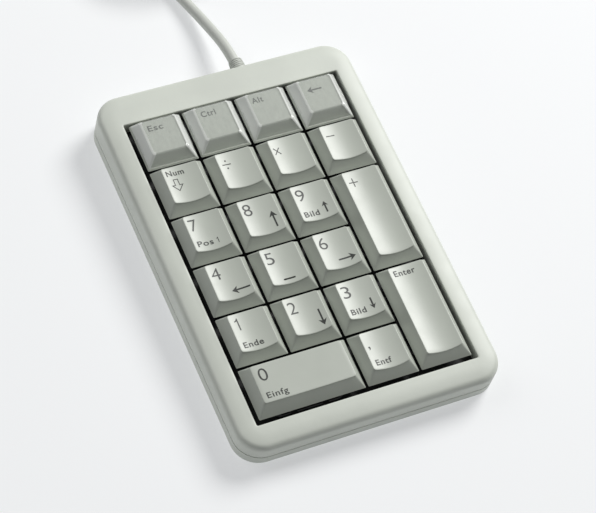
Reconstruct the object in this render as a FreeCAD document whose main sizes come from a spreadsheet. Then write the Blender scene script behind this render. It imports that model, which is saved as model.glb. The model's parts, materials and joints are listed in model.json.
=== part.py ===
import FreeCAD, Part
import Sketcher
import math
import os
import re

# A low numeric keypad with 21 keys: a two-piece case, a switch plate and circuit board,
# a switch, keycap and spring for each key, wire stabilisers under the double keys,
# relegendable covers on the back row, and a cable that ends in a USB-A plug.
#
# Everything but the cord is drawn in the key frame: its origin is the centre of the key
# field at the level of the keycaps' lower edges, X is right, Y is back and Z is up, out of
# the keys. The key frame leans forward by "tilt"; lay_on_desk() puts it on the desk (z = 0).

V = FreeCAD.Vector
X_AXIS, Z_AXIS = V(1, 0, 0), V(0, 0, 1)

SIZES = {
    # keys
    "pitch": 19.05, "travel": 3.0, "cap_base": 18.15, "cap_height": 4.1, "side_taper": 2.9,
    "front_taper": 2.95, "back_taper": 1.4, "cap_wall": 1.2, "cap_roof": 1.4, "cap_corner": 1.1,
    "dish_radius": 30.0, "dish_depth": 0.6, "homing_length": 3.6, "homing_width": 0.7,
    "homing_rise": 0.35, "homing_back": 3.4, "step_height": 1.9, "cover_wall": 0.7,
    "cover_roof": 0.7, "paper_thick": 0.15, "paper_margin": 0.25,
    # where the key frame stands on the desk
    "tilt": 1.23, "key_level": 12.0, "centre_shift": -1.63,
    # case
    "case_half": 46.4, "case_front": -66.7, "case_back": 69.7, "case_corner": 9.0,
    "room_corner": 4.1, "case_top": 0.6, "case_edge": 2.2, "case_wall": 2.1,
    "roof_thick": 2.0, "opening_half": 39.2, "opening_reach": 57.6, "skirt_wall": 1.6,
    "foot_height": 0.8, "floor_thick": 1.6, "seam_level": 4.4, "seam_gap": 0.15,
    "foot_radius": 4.75, "foot_side": 36.0, "foot_reach": 50.0, "foot_shift": 1.0,
    "boss_side": 38.0, "boss_front": -62.1, "boss_back": 63.6, "boss_radius": 2.3,
    "boss_flare": 0.5, "boss_meet": -7.5, "screw_radius": 1.2, "screw_play": 0.05,
    "screw_head": 2.1, "screw_head_thick": 1.1, "screw_length": 7.0, "screw_slot": 0.45,
    "head_sunk": 0.1, "recess_play": 0.2, "label_half": 24.0, "label_reach": 15.0,
    "label_thick": 0.1,
    # how far cutting tools reach past the case, and solids run into those they join
    "tool_low": -18.0, "tool_half": 100.0, "tool_past": 1.0, "merge": 0.1,
    # switch plate and circuit board
    "plate_top": -4.6, "plate_thick": 1.0, "plate_half": 42.6, "plate_reach": 59.2,
    "plate_hole": 13.6, "board_top": -6.2, "board_thick": 1.6, "board_half": 42.0,
    "board_reach": 59.2, "post_side": 40.6, "post_reach": 48.0, "post_radius": 1.5,
    "board_screw_front": -24.0, "board_screw_back": 40.0, "board_screw_radius": 0.8,
    "board_screw_head": 1.5, "board_screw_head_thick": 0.8, "board_screw_short": 0.1,
    # switches
    "housing": 13.4, "flange": 14.0, "flange_thick": 0.6, "lid_seat": -3.9, "lid_top": -0.6,
    "lid_top_width": 9.8, "lid_wall": 1.1, "lid_roof": 0.6, "base_floor": 0.35, "stem": 3.6,
    "stem_play": 0.15, "slider": 5.6, "slider_top": -1.25, "slider_bottom": -2.7,
    "bore_radius": 1.5, "bore_top": 0.6, "spring_radius": 1.15, "spring_wire": 0.2,
    "spring_play": 0.2, "leaf_place": 3.45, "leaf_thick": 0.3, "leaf_width": 2.4,
    "leaf_top": -3.3, "pin_width": 0.8, "pin_play": 0.1, "pin_end": -8.15,
    # stabilisers of the double keys
    "wire_radius": 0.5, "wire_offset": 8.0, "wire_level": -4.0, "wire_lean": 30.0,
    "arm_length": 8.0, "arm_place": 12.0, "tip_length": 2.6, "slot_height": 1.3,
    "slot_length": 3.2, "slot_shift": 0.5, "slot_wall": 0.7, "slot_post": 1.4,
    "slot_post_foot": -1.4, "clip_place": 5.5, "clip_width": 2.0, "clip_reach": 0.95,
    "clip_top": -3.25, "wire_play": 0.08,
    # parts under the board
    "chip_side": 7.0, "chip_thick": 1.1, "lead_pitch": 0.8, "diode_back": 6.5,
    "header_thick": 2.2, "header_length": 10.0, "header_depth": 2.8, "header_inset": 0.2,
    "lead_length": 1.0, "lead_width": 0.35, "lead_thick": 0.3, "crystal_width": 3.2,
    "crystal_depth": 2.5, "crystal_thick": 0.8, "capacitor_width": 1.6, "capacitor_depth": 0.8,
    "capacitor_thick": 0.7, "crystal_gap": 3.0, "chip_gap": 5.5, "diode_width": 1.8,
    "diode_depth": 1.2, "diode_thick": 0.55, "core_radius": 0.35, "core_spread": 1.0,
    "core_start": 4.0, "core_bend": 6.5, "core_dip": 1.8, "core_run": 2.0,
    # cord and plug, laid level on the desk
    "cord_radius": 1.9, "cord_side": 9.0, "cord_level": -5.0, "boot_bore_play": 0.05,
    "boot_flange": 3.4, "boot_neck": 2.5, "boot_sleeve": 2.9, "boot_end": 2.35,
    "boot_length": 4.6, "boot_flange_thick": 1.4, "boot_shoulder": 0.8, "coil_side": 21.0,
    "coil_back": 142.0, "coil_radius": 21.0, "coil_rows": 3.0, "coil_layers": 4.0,
    "plug_side": -27.0, "plug_back": 158.0, "plug_width": 15.6, "plug_thick": 8.0,
    "plug_length": 23.0, "plug_corner": 2.0, "shell_width": 12.0, "shell_thick": 4.5,
    "shell_length": 18.75, "shell_wall": 0.3,
    "shell_root": 5.0, "window": 2.2, "window_side": 2.6, "window_back": 6.2,
    "tongue_thick": 1.9, "tongue_short": 0.4, "finger_width": 1.0, "finger_length": 7.5,
    "finger_short": 1.2, "finger_thick": 0.15, "finger_outer": 3.5, "finger_inner": 1.0,
}

# name, column, row counted from the front, width and depth in key units, kind of cap
KEYS = [
    ("key_esc", 0, 5, 1, 1, "covered"), ("key_ctrl", 1, 5, 1, 1, "covered"),
    ("key_alt", 2, 5, 1, 1, "covered"), ("key_back", 3, 5, 1, 1, "covered"),
    ("key_num", 0, 4, 1, 1, "dished"), ("key_divide", 1, 4, 1, 1, "dished"),
    ("key_multiply", 2, 4, 1, 1, "dished"), ("key_minus", 3, 4, 1, 1, "dished"),
    ("key_7", 0, 3, 1, 1, "dished"), ("key_8", 1, 3, 1, 1, "dished"),
    ("key_9", 2, 3, 1, 1, "dished"), ("key_plus", 3, 2, 1, 2, "dished"),
    ("key_4", 0, 2, 1, 1, "dished"), ("key_5", 1, 2, 1, 1, "homing"),
    ("key_6", 2, 2, 1, 1, "dished"), ("key_1", 0, 1, 1, 1, "dished"),
    ("key_2", 1, 1, 1, 1, "dished"), ("key_3", 2, 1, 1, 1, "dished"),
    ("key_enter", 3, 0, 1, 2, "dished"), ("key_0", 0, 0, 2, 1, "flat"),
    ("key_comma", 2, 0, 1, 1, "dished"),
]
COLUMNS, ROWS = 4, 6

# Route of the cord on the desk in millimetres: out of the case to the coil, and from the
# coil's top turn to the plug.
CORD_TO_COIL = [
    (9.0, 64.96, 8.43), (9.0, 76.46, 8.67), (7.6, 92.0, 4.4), (3.6, 109.0, 1.9),
    (-2.0, 125.5, 1.9), (-5.7, 142.0, 1.9),
]
CORD_TO_PLUG = [
    (21.0, 115.3, 13.3), (4.0, 115.8, 12.5), (-12.0, 120.0, 9.2), (-22.4, 131.0, 5.6),
    (-27.0, 145.5, 4.0), (-27.0, 158.0, 4.0),
]

doc = FreeCAD.newDocument("Keypad")
sheet = doc.addObject("Spreadsheet::Sheet", "Sizes")
for row, (alias, number) in enumerate(SIZES.items(), start=1):
    sheet.set(f"A{row}", alias)
    sheet.set(f"B{row}", str(number))
    sheet.setAlias(f"B{row}", alias)
doc.recompute()

nodes = []


def size(alias):
    return float(sheet.get(alias))


def bind(thing, **expressions):
    """Binds properties to expressions in which each driving size goes by its plain name."""
    for prop, text in expressions.items():
        named = re.sub(r"[a-z_]+", lambda word: f"Sizes.{word[0]}" if word[0] in SIZES
                       else word[0], str(text))
        thing.setExpression(prop.replace("__", "."), named)
    return thing


def made(kind, name, **expressions):
    return bind(doc.addObject(kind, name), **expressions)


def box(name, x, y, z):
    """A box between the low and high values given for each axis."""
    return made("Part::Box", name, Length=f"({x[1]})-({x[0]})", Width=f"({y[1]})-({y[0]})",
                Height=f"({z[1]})-({z[0]})", Placement__Base__x=x[0], Placement__Base__y=y[0],
                Placement__Base__z=z[0])


def around(centre, width):
    return (f"({centre})-({width})/2", f"({centre})+({width})/2")


def cylinder(name, radius, x, y, z):
    """A cylinder along the one axis whose value is a low and high pair."""
    shape = made("Part::Cylinder", name, Radius=radius)
    starts = [v if isinstance(v, str) else v[0] for v in (x, y, z)]
    span = next(v for v in (x, y, z) if not isinstance(v, str))
    if not isinstance(x, str):
        shape.Placement = FreeCAD.Placement(V(), FreeCAD.Rotation(Z_AXIS, X_AXIS))
    if not isinstance(y, str):
        shape.Placement = FreeCAD.Placement(V(), FreeCAD.Rotation(X_AXIS, -90))
    return bind(shape, Height=f"({span[1]})-({span[0]})", Placement__Base__x=starts[0],
                Placement__Base__y=starts[1], Placement__Base__z=starts[2])


def level_box(name, x, y, z):
    """A box given on the level desk, turned so that it is level again once laid there."""
    shape = box(name, x, y, z)
    shape.Placement = FreeCAD.Placement(V(), FreeCAD.Rotation(-X_AXIS, size("tilt")))
    back, up = f"({y[0]}-centre_shift)", f"({z[0]}-key_level)"
    return bind(shape, Placement__Rotation__Angle="tilt", Placement__Base__x=x[0],
                Placement__Base__y=f"{back}*cos(tilt)+{up}*sin(tilt)",
                Placement__Base__z=f"{up}*cos(tilt)-{back}*sin(tilt)")


def together(kind, name, shapes):
    joined = doc.addObject(kind, name)
    setattr(joined, "Links" if kind == "Part::Compound" else "Shapes", shapes)
    return joined


def fuse(name, *shapes):
    return together("Part::MultiFuse", name, list(shapes))


def compound(name, *shapes):
    return together("Part::Compound", name, list(shapes))


def cut(name, base, *tools):
    result = doc.addObject("Part::Cut", name)
    result.Base = base
    result.Tool = tools[0] if len(tools) == 1 else fuse(name + "_tools", *tools)
    return result


def common(name, first, second):
    result = doc.addObject("Part::Common", name)
    result.Base, result.Tool = first, second
    return result


def rounded(name, base, radius, wanted):
    """Fillets the edges of base for which wanted(edge) is true."""
    doc.recompute([base])
    result = doc.addObject("Part::Fillet", name)
    result.Base = base
    result.Edges = [(number, size(radius), size(radius))
                    for number, edge in enumerate(base.Shape.Edges, start=1) if wanted(edge)]
    return result


def rise(edge):
    return abs(edge.Vertexes[0].Z - edge.Vertexes[-1].Z)


def upright(edge):
    return len(edge.Vertexes) == 2 and rise(edge) > 0.5 * edge.Length


def node(label, shape, x="0", y="0"):
    """Names a sub-part and lays it on the desk, moved by x and y in the key frame first."""
    shape.Label = label
    shape.Placement = FreeCAD.Placement(V(), FreeCAD.Rotation(X_AXIS, size("tilt")))
    bind(shape, Placement__Rotation__Angle="tilt", Placement__Base__x=x,
         Placement__Base__y=f"({y})*cos(tilt)+centre_shift",
         Placement__Base__z=f"({y})*sin(tilt)+key_level")
    nodes.append(shape)
    return shape


def desk_node(label, shape):
    """Names a sub-part that is drawn level on the desk, where it lies."""
    shape.Label = label
    nodes.append(shape)
    return shape


def repeated(name, template, places):
    """Copies of a template's solids at the given places, as one object."""
    doc.recompute([template])
    copies = [template.Shape.translated(V(*place)) for place in places]
    return still(name, Part.makeCompound(copies))


def still(name, shape):
    feature = doc.addObject("Part::Feature", name)
    feature.Shape = Part.makeCompound([shape])
    return feature


def centre(key):
    """The centre of a key in the key frame."""
    _, column, row, width, depth, _ = key
    return ((column + width / 2 - COLUMNS / 2) * size("pitch"),
            (row + depth / 2 - ROWS / 2) * size("pitch"), 0)


def tube(points, radius, shares=0.45):
    """A round tube along straight runs joined by tangent arcs, and the arcs' radii."""
    corners = [V(*point) for point in points]
    edges, radii, start = [], [], corners[0]
    for before, corner, after in zip(corners, corners[1:], corners[2:]):
        back, ahead = before - corner, after - corner
        reach = shares * min(back.Length, ahead.Length)
        back.normalize()
        ahead.normalize()
        half_turn = (math.pi - back.getAngle(ahead)) / 2
        radii.append(reach / math.tan(half_turn))
        inside = (back + ahead).normalize()
        depth = radii[-1] / math.cos(half_turn) - radii[-1]
        begin, end = corner + back * reach, corner + ahead * reach
        edges.append(Part.LineSegment(start, begin).toShape())
        edges.append(Part.Arc(begin, corner + inside * depth, end).toShape())
        start = end
    edges.append(Part.LineSegment(start, corners[-1]).toShape())
    path = Part.Wire(edges)
    ring = Part.Wire(Part.makeCircle(radius, corners[0], corners[1] - corners[0]))
    return path.makePipeShell([ring], True, False), path.Length, radii


# ---------------------------------------------------------------- keycaps and covers

def frustum(name, width, depth, low, high, inset="0"):
    """The slice of a keycap's outer form between two heights, moved inward by inset."""
    def side(units, height, taper):
        return f"((({units})-1)*pitch+cap_base)/2-{taper}*({height})/cap_height-({inset})"
    shape = made("Part::Wedge", name, Ymin=low, Ymax=high,
                 Xmin=f"-({side(width, low, 'side_taper')})", Xmax=side(width, low, "side_taper"),
                 X2min=f"-({side(width, high, 'side_taper')})",
                 X2max=side(width, high, "side_taper"),
                 Zmin=f"-({side(depth, low, 'back_taper')})", Zmax=side(depth, low, "front_taper"),
                 Z2min=f"-({side(depth, high, 'back_taper')})",
                 Z2max=side(depth, high, "front_taper"))
    # A wedge tapers along its own Y, which is stood up here; its Z then points forward.
    shape.Placement = FreeCAD.Placement(V(), FreeCAD.Rotation(X_AXIS, 90))
    return shape


def dish(name, width, depth):
    """The cylinder that hollows a keycap's top, lying along Y above it."""
    return cylinder(name, "dish_radius", "0", (f"-{depth}*pitch", f"{depth}*pitch"),
                    "cap_height-dish_depth+dish_radius")


def slot_posts(name, lengthwise):
    """The two slotted posts inside a double cap that its stabiliser wire lifts."""
    posts = []
    for sign in (-1, 1):
        across = around(f"{sign}*(arm_place-tip_length/2)", "slot_post")
        tip = ("arm_length*cos(wire_lean)-wire_offset-slot_length/2+slot_shift",
               "arm_length*cos(wire_lean)-wire_offset+slot_length/2+slot_shift")
        body = (f"({tip[0]})-slot_wall", f"({tip[1]})+slot_wall")
        upright_span = ("slot_post_foot", "cap_height-cap_roof+merge")
        slot_span = ("-slot_height/2", "slot_height/2")
        label = f"{name}_{'low' if sign < 0 else 'high'}"
        through = around(f"{sign}*(arm_place-tip_length/2)", "2*slot_post")
        if lengthwise:
            post = box(label, body, across, upright_span)
            slot = box(label + "_slot", tip, through, slot_span)
        else:
            post = box(label, across, body, upright_span)
            slot = box(label + "_slot", through, tip, slot_span)
        posts.append(cut(label + "_cut", post, slot))
    return posts


def plunger(name):
    """The stem that carries the cap, and the bored slider that the spring pushes up."""
    stem = box(name + "_stem", around("0", "stem"), around("0", "stem"),
               ("slider_top", "cap_height-cap_roof"))
    slider = box(name + "_slider", around("0", "slider"), around("0", "slider"),
                 ("slider_bottom", "slider_top"))
    bore = cylinder(name + "_bore", "bore_radius", "0", "0", ("slider_bottom", "bore_top"))
    return cut(name + "_plunger", fuse(name + "_slide", stem, slider), bore)


def keycap(key):
    name, _, _, width, depth, kind = key
    covered = kind == "covered"
    top = "step_height" if covered else "cap_height"
    outer = rounded(name + "_outer", frustum(name + "_block", width, depth, "0", top),
                    "cap_corner", upright)
    hollow = frustum(name + "_hollow", width, depth, "0", "cap_height-cap_roof", "cap_wall")
    solids = [outer]
    if covered:
        solids.append(frustum(name + "_seat", width, depth, "step_height",
                              "cap_height-cover_roof-paper_thick", "cover_wall"))
    if kind in ("dished", "homing"):
        solids = [cut(name + "_dished", outer, dish(name + "_dish", width, depth))]
    if kind == "homing":
        solids.append(box(name + "_bar", around("0", "homing_length"),
                          around("homing_back-cap_base/2", "homing_width"),
                          ("cap_height-cap_roof+merge",
                           "cap_height-dish_depth+homing_rise")))
    block = fuse(name + "_solid", *solids) if len(solids) > 1 else solids[0]
    cap = cut(name + "_cap", block, hollow)
    if width * depth > 1:
        cap = fuse(name + "_braced", cap, *slot_posts(name + "_post", depth > 1))
    x, y, _ = centre(key)
    node(name, compound(name + "_set", cap, plunger(name)), x, y)


def cover(key):
    """The clear cover that snaps over a back-row cap, and the paper legend under it."""
    name, _, _, width, depth, _ = key
    tag = name.replace("key_", "")
    x, y, _ = centre(key)
    shell = frustum(tag + "_shell", width, depth, "step_height", "cap_height")
    room = frustum(tag + "_room", width, depth, "step_height", "cap_height-cover_roof",
                   "cover_wall")
    smooth = rounded(tag + "_smooth", shell, "cap_corner", upright)
    node(f"clear_cover_{tag}", cut(tag + "_cover", smooth, room), x, y)
    paper = frustum(tag + "_paper", width, depth, "cap_height-cover_roof-paper_thick",
                    "cap_height-cover_roof", "cover_wall+paper_margin")
    node(f"paper_legend_{tag}", compound(tag + "_slip", paper), x, y)


# ---------------------------------------------------------------- case

def outline(name, low, high, inset="0", corner="case_corner"):
    """A block with the case's rounded plan between two heights of the key frame."""
    block = box(name + "_block", (f"-case_half+{inset}", f"case_half-{inset}"),
                (f"case_front+{inset}", f"case_back-{inset}"), (low, high))
    return rounded(name, block, corner, upright)


def case_screw_places():
    return [(sign * size("boss_side"), size(end), 0)
            for sign in (-1, 1) for end in ("boss_front", "boss_back")]


def at_case_screws(name, radius, low, high):
    return [cylinder(f"{name}_{number}", radius, str(x), str(y), (low, high))
            for number, (x, y, _) in enumerate(case_screw_places())]


def top_case():
    block = outline("top_outline", "tool_low", "case_top")
    rim = size("case_top") - size("merge")
    smooth = rounded("top_smooth", block, "case_edge",
                     lambda edge: min(v.Z for v in edge.Vertexes) > rim)
    room = outline("top_room", "tool_low-tool_past", "case_top-roof_thick", "case_wall",
                   "room_corner")
    skirt = box("top_skirt", ("-opening_half-skirt_wall", "opening_half+skirt_wall"),
                ("-opening_reach-skirt_wall", "opening_reach+skirt_wall"),
                ("plate_top", "case_top"))
    bosses = at_case_screws("top_boss", "boss_radius", "plate_top-board_thick*2",
                            "case_top-roof_thick")
    walls = fuse("top_walls", cut("top_hollow", smooth, room),
                 common("top_skirt_trimmed", skirt, smooth), *bosses)
    opening = box("top_opening", ("-opening_half", "opening_half"),
                  ("-opening_reach", "opening_reach"), ("tool_low", "case_top+tool_past"))
    below = level_box("top_below", ("-tool_half", "tool_half"), ("-tool_half", "tool_half"),
                      ("2*tool_low", "seam_level"))
    pilots = at_case_screws("top_pilot", "screw_radius+screw_play", "tool_low",
                            "case_top-roof_thick")
    outlet = cylinder("top_outlet", "boot_neck+boot_bore_play", "cord_side",
                      ("case_back-2*case_wall", "case_back+tool_past"), "cord_level")
    node("top_case", cut("top_cut", walls, opening, below, outlet, *pilots))


def bottom_case():
    everywhere = ("-tool_half", "tool_half")
    slab = level_box("bottom_slab", everywhere, everywhere,
                     ("foot_height", "seam_level-seam_gap"))
    tray = common("bottom_tray", outline("bottom_outline", "tool_low", "cord_level"), slab)
    room = common("bottom_room",
                  outline("bottom_inner", "tool_low", "cord_level+tool_past", "case_wall",
                          "room_corner"),
                  level_box("bottom_air", everywhere, everywhere,
                            ("foot_height+floor_thick", "key_level")))
    bosses = [common(f"bottom_boss_{number}", boss, slab)
              for number, boss in enumerate(at_case_screws(
                  "bottom_post", "boss_radius+boss_flare", "tool_low", "boss_meet"))]
    supports = [common(f"bottom_support_{number}", level_box(
        f"bottom_rest_{number}", everywhere, everywhere,
        ("foot_height+floor_thick/2", "key_level")), cylinder(
            f"bottom_column_{number}", "post_radius", f"{side}*post_side",
            f"{end}*post_reach", ("tool_low", "board_top-board_thick")))
        for number, (side, end) in enumerate([(-1, -1), (1, -1), (-1, 1), (1, 1)])]
    holes = at_case_screws("bottom_hole", "screw_radius+screw_play", "tool_low", "cord_level")
    recesses = [level_box(f"bottom_recess_{number}", around(str(x), "2*screw_head+2*recess_play"),
                          around(f"({y})*cos(tilt)+(key_level-foot_height)*sin(tilt)"
                                 "+centre_shift", "2*screw_head+2*recess_play"),
                          ("-tool_past", "foot_height+screw_head_thick+head_sunk"))
                for number, (x, y, _) in enumerate(case_screw_places())]
    hollow = cut("bottom_hollow", tray, room)
    node("bottom_case", cut("bottom_cut", fuse("bottom_walls", hollow, *bosses, *supports),
                            *holes, *recesses))


def case_screws():
    """Four pan-head screws, each driven up from its recess in the underside."""
    screws = []
    for number, (x, y, _) in enumerate(case_screw_places()):
        low = f"foot_height+head_sunk-key_level-({y})*tan(tilt)"
        head = cylinder(f"case_screw_head_{number}", "screw_head", str(x), str(y),
                        (low, f"{low}+screw_head_thick-head_sunk"))
        shank = cylinder(f"case_screw_shank_{number}", "screw_radius", str(x), str(y),
                         (low, f"{low}+screw_length"))
        slot = box(f"case_screw_slot_{number}", around(str(x), "screw_head"),
                   around(str(y), "screw_slot"), (f"{low}-tool_past", f"{low}+screw_slot"))
        screws.append(cut(f"case_screw_{number}", fuse(f"case_screw_bar_{number}", head, shank),
                          slot))
    node("case_screws", compound("case_screw_set", *screws))


def body_with_rectangle(name, x, y, low, length, plane="XY_Plane"):
    """A PartDesign body padded from a rectangle that is bound to the sizes."""
    body = doc.addObject("PartDesign::Body", name)
    sketch = body.newObject("Sketcher::SketchObject", name + "_sketch")
    side = next(f for f in body.Origin.OriginFeatures if f.Role == plane)
    sketch.AttachmentSupport = [(side, "")]
    sketch.MapMode = "FlatFace"
    corners = [V(-1, -1, 0), V(1, -1, 0), V(1, 1, 0), V(-1, 1, 0)]
    for start, end in zip(corners, corners[1:] + corners[:1]):
        sketch.addGeometry(Part.LineSegment(start, end), False)
    for line in range(4):
        sketch.addConstraint(Sketcher.Constraint("Coincident", line, 2, (line + 1) % 4, 1))
        sketch.addConstraint(Sketcher.Constraint("Vertical" if line % 2 else "Horizontal", line))
    for kind, line, text in (("DistanceX", 0, x[0]), ("DistanceX", 2, x[1]),
                             ("DistanceY", 0, y[0]), ("DistanceY", 2, y[1])):
        number = sketch.addConstraint(Sketcher.Constraint(kind, line, 1, 1.0))
        bind(sketch, **{f"Constraints[{number}]": text})
    bind(sketch, AttachmentOffset__Base__z=low)
    pad = body.newObject("PartDesign::Pad", name + "_pad")
    pad.Profile = sketch
    bind(pad, Length=length)
    return body


def rubber_feet():
    """Four feet: one padded disc, patterned along both sides of the underside."""
    body = doc.addObject("PartDesign::Body", "feet")
    disc = body.newObject("PartDesign::AdditiveCylinder", "foot")
    bind(disc, Radius="foot_radius", Height="foot_height")
    disc.AttachmentSupport = [(next(f for f in body.Origin.OriginFeatures
                                    if f.Role == "XY_Plane"), "")]
    disc.MapMode = "FlatFace"
    doc.recompute()
    places = [(a * size("foot_side"), b * size("foot_reach") - size("foot_shift"), 0)
              for a in (-1, 1) for b in (-1, 1)]
    desk_node("rubber_feet", repeated("foot_set", body, places))


def rating_label():
    """A blank label on the underside."""
    body = body_with_rectangle("label", ("-label_half", "label_half"),
                               ("-label_reach", "label_reach"), "foot_height-label_thick",
                               "label_thick")
    desk_node("rating_label", body)


# ---------------------------------------------------------------- plate, board and switches

def board_screw_places():
    return [(sign * size("post_side"), size(end), 0)
            for sign in (-1, 1) for end in ("board_screw_front", "board_screw_back")]


def at_board_screws(name, radius, low, high):
    return [cylinder(f"{name}_{number}", radius, str(x), str(y), (low, high))
            for number, (x, y, _) in enumerate(board_screw_places())]


def switch_plate():
    sheet_metal = body_with_rectangle("plate", ("-plate_half", "plate_half"),
                                      ("-plate_reach", "plate_reach"), "plate_top-plate_thick",
                                      "plate_thick")
    spacers = at_board_screws("plate_spacer", "2*board_screw_radius", "board_top",
                              "plate_top-plate_thick")
    hole = box("plate_hole_block", around("0", "plate_hole"), around("0", "plate_hole"),
               ("plate_top-2*plate_thick", "plate_top+plate_thick"))
    holes = repeated("plate_holes", hole, [centre(key) for key in KEYS])
    pilots = at_board_screws("plate_pilot", "board_screw_radius+screw_play",
                             "board_top-board_thick", "plate_top+plate_thick")
    node("switch_plate", cut("plate_cut", fuse("plate_solid", sheet_metal, *spacers), holes,
                             *pilots))


def circuit_board():
    board = body_with_rectangle("board", ("-board_half", "board_half"),
                                ("-board_reach", "board_reach"), "board_top-board_thick",
                                "board_thick")
    through = ("board_top-2*board_thick", "board_top+board_thick")
    holes = repeated("board_pin_holes", pins("board_pin", "pin_play", through),
                     [centre(key) for key in KEYS])
    screws = at_board_screws("board_hole", "board_screw_radius+screw_play", *through)
    node("circuit_board", cut("board_cut", board, holes, *screws))


def board_screws():
    head = at_board_screws("board_screw_head_disc", "board_screw_head",
                           "board_top-board_thick-board_screw_head_thick",
                           "board_top-board_thick")
    shank = at_board_screws("board_screw_shank", "board_screw_radius",
                            "board_top-board_thick", "plate_top-board_screw_short")
    pairs = [fuse(f"board_screw_{number}", *pair) for number, pair in enumerate(zip(head, shank))]
    node("board_screws", compound("board_screw_set", *pairs))


def pins(name, play, span):
    """The two contact pins' outlines between two heights, widened by a play."""
    return compound(name + "_pair", *[
        box(f"{name}_{number}", around(f"{sign}*leaf_place", f"leaf_thick+{play}"),
            around("0", f"pin_width+{play}"), span)
        for number, sign in enumerate((-1, 1))])


def switches():
    places = [centre(key) for key in KEYS]
    body = box("base_body", around("0", "housing"), around("0", "housing"),
               ("board_top", "lid_seat"))
    flange = box("base_flange", around("0", "flange"), around("0", "flange"),
                 ("plate_top", "plate_top+flange_thick"))
    room = box("base_room", around("0", "housing-2*lid_wall"), around("0", "housing-2*lid_wall"),
               ("board_top+base_floor", "lid_seat"))
    slots = pins("base_pin", "pin_play", ("board_top-tool_past", "board_top+tool_past"))
    base = cut("base", fuse("base_solid", body, flange), room, slots)
    node("switch_bases", repeated("base_set", base, places))

    lid = cut("lid", lid_block("lid_outer", "0", "lid_top"),
              lid_block("lid_inner", "lid_wall", "lid_top-lid_roof"),
              box("lid_mouth", around("0", "stem+2*stem_play"), around("0", "stem+2*stem_play"),
                  ("lid_seat", "lid_top+tool_past")))
    node("switch_lids", repeated("lid_set", lid, places))

    leaves = compound("leaf_pair", *[
        fuse(f"contact_{number}",
             box(f"leaf_{number}", around(f"{sign}*leaf_place", "leaf_thick"),
                 around("0", "leaf_width"), ("board_top+base_floor", "leaf_top")),
             box(f"leaf_pin_{number}", around(f"{sign}*leaf_place", "leaf_thick"),
                 around("0", "pin_width"), ("pin_end", "board_top+base_floor")))
        for number, sign in enumerate((-1, 1))])
    node("switch_contacts", repeated("contact_set", leaves, places))
    node("switch_springs", repeated("spring_set", spring(), places))


def lid_block(name, inset, high):
    """The tapered form of a switch lid, moved inward by inset, up to a height."""
    shape = made("Part::Wedge", name, Ymin="lid_seat", Ymax=high)
    low = f"housing/2-{inset}"
    top = f"lid_top_width/2-{inset}"
    for prop, text in (("Xmin", f"-({low})"), ("Xmax", low), ("Zmin", f"-({low})"),
                       ("Zmax", low), ("X2min", f"-({top})"), ("X2max", top),
                       ("Z2min", f"-({top})"), ("Z2max", top)):
        bind(shape, **{prop: text})
    shape.Placement = FreeCAD.Placement(V(), FreeCAD.Rotation(X_AXIS, 90))
    return shape


def spring():
    """A switch spring at the length that it has when its key is down, coil on coil."""
    wire, middle = size("spring_wire"), size("spring_radius")
    low = size("board_top") + size("base_floor")
    high = size("bore_top") - size("travel") - size("spring_play")
    coils = int((high - low) / (2 * wire))
    corners = [V(middle - wire, 0, low), V(middle, 0, low)]
    for coil in range(coils):
        for degrees in (45, 90, 135, 180):
            angle = math.radians(degrees)
            corners.append(V(middle + wire * math.sin(angle), 0,
                             low + 2 * wire * coil + wire * (1 - math.cos(angle))))
    corners.append(V(middle - wire, 0, low + 2 * wire * coils))
    section = Part.Face(Part.makePolygon(corners + corners[:1]))
    return still("spring", section.revolve(V(), Z_AXIS, 360))


# ---------------------------------------------------------------- stabilisers

def wire_shape():
    """A stabiliser wire about a bar along X at y = 0, z = 0, its arms up towards +Y."""
    lean = math.radians(size("wire_lean"))
    place, arm = size("arm_place"), size("arm_length")
    tip = (arm * math.cos(lean), arm * math.sin(lean))
    half = [(place - size("tip_length"), *tip), (place, *tip), (place, 0, 0)]
    route = half + [(-x, y, z) for x, y, z in reversed(half)]
    return tube(route, size("wire_radius"), 0.3)[0]


def stabilisers():
    clips = []
    for key in KEYS:
        name, _, _, width, depth, _ = key
        if width * depth == 1:
            continue
        tag = name.replace("key_", "")
        x, y, _ = centre(key)
        lengthwise = depth > 1
        turn = -90 if lengthwise else 0
        offset = V(0, -size("wire_offset"), size("wire_level"))
        shape = wire_shape().translated(offset).copy()
        shape.rotate(V(), Z_AXIS, turn)
        wire = still(f"wire_{tag}", shape)
        node(f"stabiliser_wire_{tag}", wire, x, y)
        for sign in (-1, 1):
            block = Part.makeBox(size("clip_width"), 2 * size("clip_reach"),
                                 size("clip_top") - size("plate_top"),
                                 V(sign * size("clip_place") - size("clip_width") / 2,
                                   offset.y - size("clip_reach"), size("plate_top")))
            play = size("wire_radius") + size("wire_play")
            groove = Part.makeBox(size("clip_width"), 2 * play, size("wire_level") + play
                                  - size("plate_top"),
                                  V(sign * size("clip_place") - size("clip_width") / 2,
                                    offset.y - play, size("plate_top")))
            clip = block.cut(groove)
            clip.rotate(V(), Z_AXIS, turn)
            clips.append(clip.translated(V(x, y, 0)))
    node("stabiliser_clips", still("clip_set", Part.makeCompound(clips)))


# ---------------------------------------------------------------- electronics

def under_board(name, x, y, width, depth, thick):
    return box(name, around(x, width), around(y, depth),
               (f"board_top-board_thick-({thick})", "board_top-board_thick"))


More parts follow.
